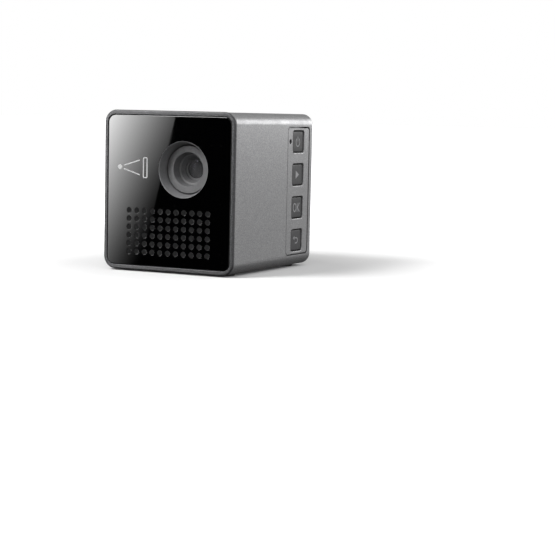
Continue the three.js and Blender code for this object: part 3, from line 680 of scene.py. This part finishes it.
def make_panel():
    """The black glass, a little smaller than its seat, with the lens hole and the grille."""
    gap, back = 0.15, MOUTH_BACK - 0.01
    outline = case_outline(WIDTH - 2 * (RIM_X + gap), HEIGHT - 2 * (RIM_Z + gap), CORNER - RIM_Z - gap)
    mouth, wide = (circle(r, LENS_X, LENS_Z, 128)() for r in (MOUTH_R, LENS_HOLE))
    contours = [eased(outline, PANEL_FACE, PANEL_BACK, 0.15)]
    contours.append([(mouth, PANEL_FACE), (mouth, back), (wide, back), (wide, PANEL_BACK)])
    for x, z in grille_places():
        hole = circle(GRILLE_HOLE - 0.05, x, z, 28)
        contours.append(eased(hole, PANEL_FACE, PANEL_BACK, 0.05, hole=True, steps=2))
    return plate(Build(), contours, facing_front)


make_panel().done("black_panel", GLOSS, ["front_panel"], "panel_black")


def make_cloth():
    """The speaker cloth, with a pad of it in each hole of the grille."""
    back = LEDGE + 0.1
    build = plate(Build(), [eased(rounded_rect(31, 16, 1, 0, GRILLE_Z), back, back + 0.3)], facing_front)
    for x, z in grille_places():
        pad = circle(GRILLE_HOLE - 0.07, x, z, 28)
        plate(build, [eased(pad, PANEL_FACE + 0.06, back - UNDER, 0.02, steps=2)], facing_front)
    return build


make_cloth().done("grille_cloth", CLOTH, ["grille_mesh"], "black_plastic")


def stroke(path, width, closed=False):
    """The outlines of a line of even width along 2-D points."""
    count = len(path)
    left, right = [], []
    for i, point in enumerate(path):
        here = Vector(point)
        before = Vector(path[(i - 1) % count]) if closed or i > 0 else here
        after = Vector(path[(i + 1) % count]) if closed or i < count - 1 else here
        into = (here - before).normalized() if before != here else (after - here).normalized()
        out = (after - here).normalized() if after != here else into
        along = (into + out).normalized()
        across = Vector((-along.y, along.x)) * (width / 2 / max(along.dot(out), 0.4))
        left.append(here + across)
        right.append(here - across)
    return [left, right] if closed else [left + right[::-1]]


def arc_path(r, start, end, u=0.0, v=0.0, steps=24):
    angles = [math.radians(start + (end - start) * i / steps) for i in range(steps + 1)]
    return [(u + r * math.cos(a), v + r * math.sin(a)) for a in angles]


def make_print():
    """A plain pictogram on the panel: a dot, a beam that opens out, and a screen."""
    x, z, line = -13.0, LENS_Z + 0.2, 0.34
    drawing = [[circle(0.75, x - 4.6, z)()]]
    drawing += [stroke([(x - 3.2, z + way * 0.5), (x + 2.6, z + way * 2.3)], line) for way in (1, -1)]
    drawing.append(stroke(rounded_rect(1.3, 6.2, 0.4, x + 4.6, z, 5)(), line, closed=True))
    build = Build()
    for outlines in drawing:
        slab(build, outlines, PANEL_FACE - 0.015, PANEL_FACE - 0.003, facing_front)
    return build


make_print().done("panel_print", PRINT)

# ---------- Key strip ----------


def make_strip():
    """The key strip: a plate sunk a little into the case, its windows and the thin flange behind it."""
    outline = rounded_rect(STRIP_W, STRIP_H, STRIP_R, STRIP_Y, STRIP_Z, 6)
    flange, shoulder = outline(-0.7), SIDE - WALL - 0.1
    contours = [eased(outline, STRIP_FACE, shoulder, 0.06) + [(flange, shoulder), (flange, STRIP_BACK)]]
    for z in KEY_Z.values():
        window = rounded_rect(KEY_W + 2 * KEY_GAP, KEY_H + 2 * KEY_GAP, KEY_R + KEY_GAP, STRIP_Y, z, 6)
        contours.append(eased(window, STRIP_FACE, STRIP_BACK, 0.28, hole=True))
    light = circle(0.8, LED_Y, KEY_Z["power"], 32)
    contours.append(eased(light, STRIP_FACE, STRIP_BACK, 0.1, hole=True))
    return plate(Build(), contours, facing_side)


make_strip().done("key_strip", PAINT, ["key_panel"], "body_paint")


def make_key(z):
    """A key cap with soft edges and a faint crown, its stop flange and its plunger."""
    cap = rounded_rect(KEY_W, KEY_H, KEY_R, STRIP_Y, z, 6)
    stop = rounded_rect(KEY_W + 1.6, KEY_H + 1.4, KEY_R, STRIP_Y, z, 6)()
    crown, shelf = 0.05, KEY_BACK + 0.6
    rows = [(cap(1.6), KEY_FACE), (cap(0.7), KEY_FACE - 0.02)]
    rows += [(ring, depth - crown) for ring, depth in eased(cap, KEY_FACE, shelf, 0.3)]
    build = plate(Build(), [rows + [(stop, shelf), (stop, KEY_BACK)]], facing_side)
    return rod(build, 0.9, KEY_BACK - 1.2, KEY_BACK - UNDER, STRIP_Y, z, facing_side, 0.2)


def key_drawing(name, z):
    """The power sign, play triangle, two letters or return arrow of a key, as groups of outlines."""
    y, line = STRIP_Y, 0.34
    if name == "power":
        arc = arc_path(1.35, 125, 415, y, z - 0.15)
        return [stroke(arc, line), stroke([(y, z + 0.05), (y, z + 1.65)], line)]
    if name == "play":
        return [[[(y - 1.1, z - 1.35), (y + 1.3, z), (y - 1.1, z + 1.35)]]]
    if name == "ok":
        bold = 0.36
        oval = [(u * 0.8 + y - 1.3, v + z) for u, v in arc_path(1.3, 0, 345)]
        arms = [(y + 2.15, z + 1.45), (y + 0.85, z), (y + 2.15, z - 1.45)]
        stem = [(y + 0.55, z - 1.45), (y + 0.55, z + 1.45)]
        return [stroke(oval, bold, closed=True), stroke(stem, bold), stroke(arms, bold)]
    bend = arc_path(0.85, 90, -90, y + 0.5, z - 0.1, 14)
    hook = [(y - 1.3, z + 0.75), *bend, (y - 0.5, z - 0.95)]
    return [stroke(hook, line), [[(y - 1.95, z + 0.75), (y - 1.0, z + 0.05), (y - 1.0, z + 1.45)]]]


for name, z in KEY_Z.items():
    body = f"key_{name}_body"
    make_key(z).done(f"cap_{name}", KEY_GREY, [f"key_{name}"], "key_grey", body)
    marks = Build()
    for outlines in key_drawing(name, z):
        slab(marks, outlines, KEY_FACE - 0.01, KEY_FACE + 0.035, facing_side)
    marks.done(f"mark_{name}", ICON, body=body)

pipe_back = 18.75
pipe = [(0, pipe_back, 0), (0.7, pipe_back, 0.1), (0.7, SIDE - 0.6, 0.15), (0, KEY_FACE, 0)]
pipe = lathe(Build(), pipe, LED_Y, KEY_Z["power"], 32, 3, facing_side)
pipe.done("light_pipe", SATIN_BLACK, ["status_light_pipe"], "black_plastic")

# ---------- Lens ----------


def make_funnel():
    """The funnel from the panel down to the barrel, with the collar that holds it behind the panel."""
    neck, collar, back, end = 8.9, 10.6, RING_FRONT - 0.3, BARREL_FRONT - 0.05
    corners = [
        (8.55, MOUTH_BACK, 0.15), (neck, MOUTH_BACK, 0), (neck, LEDGE, 0), (collar, LEDGE, 0.1),
        (collar, LEDGE + 1, 0.1), (neck, LEDGE + 1, 0), (neck, back, 0.05), (7.75, back, 0.05),
        (7.75, end, 0.25), (8.15, end - 1.55, 0.4),
    ]
    return lathe(Build(), corners, LENS_X, LENS_Z, 128)


def make_barrel():
    """The focusing barrel: a broad front ring, stepped baffles down to the lens, the body and the pin."""
    front, body, baffle = BARREL_FRONT, BARREL_R, BARREL_FRONT + 5
    corners = [
        (7.45, front, 0.22), (7.45, front + 2, 0.1), (body, front + 2, 0), (body, BARREL_REAR, 0.15),
        (4.2, BARREL_REAR, 0.1), (4.2, baffle + 0.5, 0), (2.85, baffle + 0.3, 0.06),
        (2.9, baffle + 0.05, 0.06), (3.35, baffle - 0.1, 0.08), (3.45, baffle - 0.7, 0.08),
        (4.25, front + 2.9, 0.12), (4.75, front + 2.75, 0.1), (5.3, front, 0.2),
    ]
    build = lathe(Build(), corners, LENS_X, LENS_Z, 128)
    return rod(build, 0.5, LENS_Z + 8.6, LENS_Z + body + 0.01, LENS_X, PIN_Y, facing_up, 0.1)


def make_lens(front, back, sag):
    """A lens with domed faces, from the axis out and back."""
    radius, steps = 4.05, 10
    dome = [(radius * i / steps, sag * (1 - (i / steps) ** 2)) for i in range(steps + 1)]
    near = [(r, front - rise, 0) for r, rise in dome]
    far = [(r, back + rise, 0) for r, rise in dome]
    return lathe(Build(), near + far[::-1], LENS_X, LENS_Z, 64)


make_funnel().done("lens_funnel", FUNNEL_GREY, ["lens_trim_ring"], "lens_black")
make_barrel().done("focus_barrel", BARREL_GREY, ["lens_barrel"], "lens_black", "barrel_body")
for name, lens in (("front", make_lens(-18.25, -16.4, 0.55)), ("rear", make_lens(-12.9, -11.2, 0.4))):
    lens.done(f"{name}_element", FRONT_GLASS, [f"{name}_lens"], "optical_glass", "barrel_body")


def gear_ring(teeth, first, module=0.5, share=0.42):
    """A spur gear's outline with one tooth centred on the first angle, its flanks in four steps."""
    pitch = module * teeth / 2
    tip, root = pitch + module, pitch - 1.25 * module
    base = pitch * math.cos(math.radians(20))

    def involute(radius):
        a = math.acos(min(1.0, base / max(radius, base)))
        return math.tan(a) - a

    out = []
    radii = [root + (tip - root) * k / 4 for k in range(5)]
    for tooth in range(teeth):
        middle = first + 2 * math.pi * tooth / teeth
        for way, flank in ((-1, radii), (1, radii[::-1])):
            for radius in flank:
                turn = middle + way * (share * math.pi / teeth + involute(pitch) - involute(radius))
                out.append((radius * math.cos(turn), radius * math.sin(turn)))
    return out


def make_wheel():
    """The focus wheel: a knurled rubber rim, a hub and the pinion that drives the ring."""
    ridges, teeth, deep = 64, 30, 0.32

    def knurl(inset=0.0):
        out = []
        for i in range(ridges * 6):
            a = 2 * math.pi * i / (ridges * 6)
            wave = 0.5 - 0.5 * math.cos(ridges * a)
            radius = WHEEL_R - deep * wave ** 2 - inset
            out.append((WHEEL_X + radius * math.cos(a), LENS_Z + radius * math.sin(a)))
        return out

    bore = circle(1.15, WHEEL_X, LENS_Z, 32)
    hub = circle(5, WHEEL_X, LENS_Z, 64)()
    pinion = [(WHEEL_X + u, LENS_Z + v) for u, v in gear_ring(teeth, math.pi / teeth)]
    rim = [eased(knurl, WHEEL_FRONT, WHEEL_BACK, 0.3, 0.3), eased(bore, WHEEL_FRONT, WHEEL_BACK, hole=True)]
    build = plate(Build(), rim, facing_front)
    slab(build, [pinion, bore()], RING_FRONT, RING_BACK, facing_front)
    return slab(build, [hub, bore()], RING_BACK + UNDER, WHEEL_FRONT - UNDER, facing_front)


make_wheel().done("thumb_wheel", RUBBER, ["focus_wheel"], "rubber", "focus_wheel_body")

# ---------- Rear cover, ports, screws, feet, tripod insert ----------


def make_cover():
    """The rear cover with the fan's vents, the port holes and the counterbores of its screws."""
    outline = rounded_rect(INSIDE_W - 0.3, INSIDE_H - 0.3, INSIDE_R - 0.15, 0, MIDDLE, 10)
    contours = [eased(outline, COVER_BACK, COVER_FRONT, 0.2)]
    holes = [(rounded_rect(23, 1.5, 0.74, FAN_X, FAN_Z + z, 8), 0.2) for z in spread(8, 2.7)]
    for x, z, w, h in ((USB_X, USB_Z, USB_W, USB_H), (VIDEO_X, VIDEO_Z, VIDEO_W, VIDEO_H)):
        holes.append((rounded_rect(w + 0.8, h + 0.8, 0.8, x, z, 6), 0.25))
    holes.append((circle(JACK_R + 0.3, JACK_X, JACK_Z, 64), 0.25))
    contours += [eased(ring, COVER_BACK, COVER_FRONT, ease, hole=True) for ring, ease in holes]
    for x in (-SCREW_X, SCREW_X):
        for z in (MIDDLE - SCREW_Z, MIDDLE + SCREW_Z):
            seat, bore = COVER_BACK - 0.9, circle(1, x, z, 40)()
            rows = eased(circle(1.6, x, z, 40), COVER_BACK, seat, 0.1, hole=True)
            contours.append(rows + [(bore, seat), (bore, COVER_FRONT)])
    return plate(Build(), contours, facing_front)


make_cover().done("back_cover", SATIN_BLACK, ["rear_cover"], "black_plastic")


def cross_ring(arm, half, x, z):
    """A plus-shaped outline."""
    quarter = [(arm, -half), (arm, half), (half, half)]
    out = []
    for turn in range(4):
        a = turn * math.pi / 2
        for u, v in quarter:
            out.append((x + u * math.cos(a) - v * math.sin(a), z + u * math.sin(a) + v * math.cos(a)))
    return out


def make_screw(x, z):
    """A pan-head screw with a cross recess that narrows as it goes in."""
    seat, top = COVER_BACK - 0.85, COVER_BACK - 0.1
    head = circle(1.4, x, z, 48)
    outside = [(head(), seat), (head(), top - 0.35), (head(0.12), top - 0.15), (head(0.4), top)]
    recess = [(cross_ring(0.85, 0.19, x, z), top), (cross_ring(0.5, 0.12, x, z), top - 0.5)]
    points, faces = [], []
    rows = [add_ring(points, ring, y, facing_front) for ring, y in outside]
    cross = [add_ring(points, ring, y, facing_front) for ring, y in recess]
    bands(faces, rows)
    bands(faces, cross)
    faces.append(list(rows[0]))
    faces += filled([*rows[-1], *cross[0]], [outside[-1][0], recess[0][0]])
    faces += filled(cross[1], [recess[1][0]])
    fix_winding(faces)
    tip, neck, high = seat - 5, seat - 4.2, seat - UNDER
    shaft = [(0, tip, 0), (0.45, tip, 0.1), (0.75, neck, 0.1), (0.75, high, 0), (0, high, 0)]
    return lathe(Build().shell(points, faces), shaft, x, z, 32)


for side, way in (("left", -1), ("right", 1)):
    for level, height in (("top", MIDDLE + SCREW_Z), ("bottom", MIDDLE - SCREW_Z)):
        screw = make_screw(way * SCREW_X, height)
        screw.done(f"cross_screw_{level}_{side}", DARK_STEEL, [f"rear_screw_{level}_{side}"], "steel")
    for end, y in (("front", -FOOT_Y), ("rear", FOOT_Y)):
        high = BASE - 0.025
        pad = [(0, 0, 0), (FOOT_R, 0, 0.28), (FOOT_R, high, 0), (0, high, 0)]
        pad = lathe(Build(), pad, way * FOOT_X, y, 64, 5, facing_up)
        pad.done(f"pad_{end}_{side}", RUBBER, [f"foot_{end}_{side}"], "rubber")


def make_insert():
    """The tripod insert: a turned brass bush with a real thread inside."""
    pitch, crest, root, steps, levels = 1.27, 2.86, 3.0, 72, 40
    body, flange, top, seat = INSERT_R, INSERT_FLANGE, BASE + 4, BASE + WALL + TOUCH
    points, faces, rows = [], [], []
    for level in range(levels + 1):
        z = BASE + (top - BASE) * level / levels
        fade = min(1.0, 4 * min(level, levels - level) / levels)
        ring = []
        for i, (x, y) in enumerate(circle(1, steps=steps)()):
            wave = abs(((z / pitch - i / steps) % 1.0) * 2 - 1)
            radius = root - (root - crest) * wave * fade
            ring.append((radius * x, radius * y))
        rows.append(add_ring(points, ring, z, facing_up))
    outside = [(body, top), (body, seat + 1), (flange, seat + 1), (flange, seat), (body, seat)]
    outside += [(body, BASE + 0.12), (body - 0.12, BASE)]
    rows += [add_ring(points, circle(radius, steps=steps)(), z, facing_up) for radius, z in outside]
    bands(faces, rows + rows[:1])
    return Build().shell(points, faces)


make_insert().done("thread_bush", BRASS, ["tripod_insert"], "brass")


def make_socket(name, node, pins, x, z, w, h, length):
    """A drawn metal port shell with its tongue and contact strips."""
    back = COVER_FRONT + 0.4
    front = back - length
    outer = rounded_rect(w, h, 0.7, x, z, 6)
    inner = rounded_rect(w - 0.7, h - 0.7, 0.45, x, z, 6)
    rings = eased(outer, back, front, 0.1)
    rings += [(inner(), front), (inner(), back - 0.12), (inner(-0.08), back)]
    tube(Build(), rings, facing_front).done(f"{name}_shell", TINNED, [node], "steel")
    end = rounded_rect(w - 0.8, h - 0.8, 0.4, x, z, 6)()
    body = slab(Build(), [end], front + 0.05, front + 1, facing_front)
    tongue = rounded_rect(w - 3.2, 0.6, 0.1, x, z + 0.05, 3)
    plate(body, [eased(tongue, front + 1 + UNDER, back - 0.8, 0.0, 0.12)], facing_front)
    body.done(f"{name}_tongue", CHIP)
    strips, pitch = Build(), (w - 4.2) / (pins - 1)
    for u in spread(pins, pitch):
        strip = rounded_rect(pitch * 0.45, 0.06, 0.02, x + u, z - 0.285, 2)()
        slab(strips, [strip], front + 1.2, back - 1.0, facing_front)
    strips.done(f"{name}_contacts", GOLD)


make_socket("charge_port", "usb_socket", 5, USB_X, USB_Z, USB_W, USB_H, 5.6)
make_socket("video_port", "video_socket", 9, VIDEO_X, VIDEO_Z, VIDEO_W, VIDEO_H, 8.0)


def make_jack():
    """The sound jack: a round barrel on a block, with a contact ring in its bore."""
    back, face = COVER_FRONT + 0.9, COVER_FRONT - 0.2
    profile = [(JACK_R, back, 0.25), (JACK_R, face, 0), (JACK_BORE, face, 0), (JACK_BORE, back, 0.3)]
    body = lathe(Build(), profile, JACK_X, JACK_Z, 64)
    block(body, (JACK_X - 3.1, back - 11, JACK_Z - 2.9), (JACK_X + 3.1, face - UNDER, MIDDLE - 8.65), 0.15)
    body.done("sound_jack", CHIP, ["av_jack"], "black_plastic")
    outer, inner, deep = JACK_BORE - 0.02, JACK_BORE - 0.2, back - 2.5
    ring = [(outer, back - 0.5, 0), (outer, deep, 0), (inner, deep, 0), (inner, back - 0.6, 0.1)]
    lathe(Build(), ring, JACK_X, JACK_Z, 64).done("jack_contact", GOLD)


make_jack()

# ---------- Fan ----------


def blade_point(blade, out, chord, face):
    """A point of a blade: out runs from the hub to the tip, chord from -0.5 to 0.5, and face is 1 or -1."""
    radius = FAN_HUB + 0.02 + (FAN_TIP - FAN_HUB - 0.02) * out
    lean = math.radians(36 - 10 * out)
    y = (FAN_FRONT + FAN_BACK) / 2 + 4.0 * chord * math.cos(lean) + 0.35 * (1 - 4 * chord * chord)
    turn = blade * 2 * math.pi / FAN_BLADES + (6.16 * chord * math.sin(lean) + 1.6 * out) / radius
    half = 0.28 * (1 - 0.45 * out) * (1 - 3.2 * chord * chord)
    normal = Vector((-math.sin(turn) * math.cos(lean), -math.sin(lean), math.cos(turn) * math.cos(lean)))
    spot = Vector((FAN_X + radius * math.cos(turn), y, FAN_Z + radius * math.sin(turn)))
    return spot + normal * half * face


def make_rotor():
    """Hub cap and seven swept blades that thin towards the tip and lean as they go round."""
    hub = [(0, FAN_FRONT, 0), (FAN_HUB, FAN_FRONT, 0.3), (FAN_HUB, FAN_BACK, 0.6), (0, FAN_BACK, 0)]
    build = lathe(Build(), hub, FAN_X, FAN_Z, 64, 5)
    across, along = 10, 8
    cell = along + 1
    size = (across + 1) * cell
    rim = [*range(cell), *(i * cell + along for i in range(1, across + 1))]
    rim += [across * cell + j for j in range(along - 1, -1, -1)]
    rim += [i * cell for i in range(across - 1, 0, -1)]
    for blade in range(FAN_BLADES):
        points, faces = [], []
        for face in (1, -1):
            for i in range(across + 1):
                points += [blade_point(blade, i / across, j / along - 0.5, face) for j in range(cell)]
        for i in range(across):
            for j in range(along):
                a = i * cell + j
                front = [a, a + 1, a + cell + 1, a + cell]
                faces += [front, [size + number for number in reversed(front)]]
        band(faces, rim, [size + a for a in rim])
        fix_winding(faces)
        build.shell(points, faces)
    return build


make_rotor().done("fan_blades", CHIP, ["fan_rotor"], "black_plastic", "fan_body")

# ---------- Inner pieces that keep their CAD shape ----------

KEPT = {
    SATIN_BLACK: ["lens_tube", "focus_ring", "fan_frame", "battery_tray", "speaker_frame", "card_socket"],
    CHIP: ["micromirror_chip", "key_switch_power", "key_switch_play", "key_switch_ok", "key_switch_back"],
    STEEL: ["focus_wheel_axle", "engine_bracket", "processor_shield"],
    ALUMINIUM: ["engine_housing", "engine_lid", "heatsink"],
    COPPER: ["heat_spreader"],
    BOARD: ["key_board", "micromirror_board", "main_board"],
    FOIL: ["battery", "led_module_green", "led_module_red_blue", "speaker_diaphragm"],
    CLEAR_GLASS: ["relay_prism", "condenser_lens", "dichroic_plate"],
    POLYIMIDE: ["micromirror_flex", "battery_lead"],
}
for material, names in KEPT.items():
    for name in names:
        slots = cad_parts[name].data.materials
        slots.clear()
        slots.append(material)

# ---------- Studio ----------


def stage_quad(name, corners, material):
    mesh = bpy.data.meshes.new(name)
    mesh.from_pydata([Vector(c) * MM for c in corners], [], [[0, 1, 2, 3]])
    mesh.materials.append(material)
    card = bpy.data.objects.new(name, mesh)
    bpy.context.scene.collection.objects.link(card)
    return card


def make_floor():
    """A pale floor that runs into the white surround: far from the object it glows a little more."""
    s = Shader("floor")
    s.set("Base Color", s.mix(s.noise(400.0), (0.86, 0.86, 0.86), (0.9, 0.9, 0.9)))
    s.set("Roughness", s.span(s.noise(60.0), 0.8, 0.9))
    s.bsdf.inputs["Emission Color"].default_value = (1, 1, 1, 1)
    reach = s.add("ShaderNodeVectorMath", {0: s.mm}, operation="LENGTH").outputs["Value"]
    s.set("Emission Strength", s.span(reach, 0.0, 1.0, 45.0, 260.0))
    far = 6000
    corners = [(-far, -far, 0), (far, -far, 0), (far, far, 0), (-far, far, 0)]
    floor = stage_quad("floor", corners, s.material)
    floor.visible_glossy = floor.visible_diffuse = False


make_floor()

# The card and the flag, as seen mirrored in the panel's plane: where they stand (y), and their edges.
CARD_PLACE, FLAG_PLACE = -300.0, -320.0
CARD_LEFT, CARD_TOP, CARD_BOTTOM = -90, 120, -60
EDGE_X, EDGE_Z, EDGE_SLOPE = 1.9, 47.6, 0.252  # a point of the card's slanting right edge, and its x over z
FLAG_SIDES = (-120, 60, 170, -90)  # left, right, top, bottom

# The card's display level at the panel's upper left, and its fall to the right and downwards from there.
FADE_LEFT, FADE_RIGHT, FADE_TOP, FADE_BOTTOM = -20, 0, 47.4, 3.4
CARD_LEVEL, CARD_FALL_RIGHT, CARD_FALL_DOWN = 0.8784, 0.5176, 0.5961
CARD_STRENGTH, GAMMA = 8.7, 2.2


def mirrored(x, z, y=CARD_PLACE):
    """Where a ray from the eye goes at depth y after it meets the black panel at (x, z)."""
    image = Vector((eye.x, 2 * PANEL_FACE - eye.y, eye.z))
    spot = Vector((x, PANEL_FACE, z))
    return image + (spot - image) * ((y - image.y) / (spot.y - image.y))


def card_material():
    """A light that fades evenly across the card, brightest at its upper left as the panel mirrors it."""
    s = Shader("card")
    s.nodes.remove(s.bsdf)

    def math_node(kind, a, b, clamp=False):
        return s.add("ShaderNodeMath", {0: a, 1: b}, operation=kind, use_clamp=clamp).outputs[0]

    first = mirrored(FADE_LEFT, FADE_TOP)
    per_x = -CARD_FALL_RIGHT / (mirrored(FADE_RIGHT, FADE_TOP).x - first.x)
    per_z = CARD_FALL_DOWN / (first.z - mirrored(FADE_LEFT, FADE_BOTTOM).z)
    split = s.add("ShaderNodeSeparateXYZ", {"Vector": s.mm})
    across = math_node("MULTIPLY", split.outputs["X"], per_x)
    upward = math_node("MULTIPLY", split.outputs["Z"], per_z)
    start = CARD_LEVEL - first.x * per_x - first.z * per_z
    level = math_node("ADD", math_node("ADD", across, upward), start, clamp=True)
    strength = math_node("MULTIPLY", math_node("POWER", level, GAMMA), CARD_STRENGTH)
    light = s.add("ShaderNodeEmission", {"Color": (1, 1, 1, 1), "Strength": strength})
    s.links.new(light.outputs[0], s.nodes["Material Output"].inputs["Surface"])
    return s.material


def make_cards():
    """The card that the left of the panel mirrors, and a black flag behind it to keep the rest dark."""
    high, low = (EDGE_X + (z - EDGE_Z) * EDGE_SLOPE for z in (CARD_TOP, CARD_BOTTOM))
    seen = [(CARD_LEFT, CARD_TOP), (high, CARD_TOP), (low, CARD_BOTTOM), (CARD_LEFT, CARD_BOTTOM)]
    card = stage_quad("card", [mirrored(x, z) for x, z in seen], card_material())
    black = Shader("flag", (0, 0, 0), 1.0, Specular_IOR_Level=0.0).material
    left, right, top, bottom = FLAG_SIDES
    seen = [(left, top), (right, top), (right, bottom), (left, bottom)]
    flag = stage_quad("flag", [mirrored(x, z, FLAG_PLACE) for x, z in seen], black)
    for piece in (card, flag):
        piece.visible_camera = piece.visible_diffuse = False
        piece.visible_shadow = piece.visible_transmission = False


make_cards()


def area_light(name, place, aim, size, power):
    data = bpy.data.lights.new(name, "AREA")
    data.shape, data.size, data.size_y = "RECTANGLE", size[0] * MM, size[1] * MM
    data.energy = power
    light = bpy.data.objects.new(name, data)
    light.location = Vector(place) * MM
    light.rotation_mode = "QUATERNION"
    light.rotation_quaternion = (Vector(aim) - Vector(place)).to_track_quat("-Z", "Y")
    bpy.context.scene.collection.objects.link(light)


CENTRE = (0, 0, MIDDLE)
area_light("front_soft", (-150, -260, 330), CENTRE, (160, 160), 1.7)
area_light("edge_light", (129, 228, 105), (20, 0, 44), (100, 95), 0.14)

# Strength of the surround along X and along Z, each as the direction's range and the strengths at its ends.
SKY_ACROSS = (-0.5, 0.6, 0.15, 0.97)
SKY_UPWARD = (-0.3, 0.05, 0.15, 1.0)


def make_world():
    """White all round for the camera, and brighter at the right and dark below for everything else."""
    world = bpy.data.worlds.new("studio")
    world.use_nodes = True
    tree = world.node_tree
    where = add_node(tree, "ShaderNodeTexCoord").outputs["Generated"]
    split = add_node(tree, "ShaderNodeSeparateXYZ", {0: where})
    fades = []
    for axis, values in (("X", SKY_ACROSS), ("Z", SKY_UPWARD)):
        inputs = {"Value": split.outputs[axis], **dict(zip(RANGE_ENDS, values))}
        fades.append(add_node(tree, "ShaderNodeMapRange", inputs).outputs["Result"])
    product = add_node(tree, "ShaderNodeMath", enumerate(fades), operation="MULTIPLY").outputs[0]
    sky = add_node(tree, "ShaderNodeBackground", {"Color": (1, 1, 1, 1), "Strength": product}).outputs[0]
    backdrop = add_node(tree, "ShaderNodeBackground", {"Color": (1, 1, 1, 1)}).outputs[0]
    ray = add_node(tree, "ShaderNodeLightPath").outputs["Is Camera Ray"]
    pick = add_node(tree, "ShaderNodeMixShader", {0: ray, 1: sky, 2: backdrop})
    tree.links.new(pick.outputs[0], tree.nodes["World Output"].inputs["Surface"])
    bpy.context.scene.world = world


make_world()
bpy.context.scene.view_settings.view_transform = "Standard"
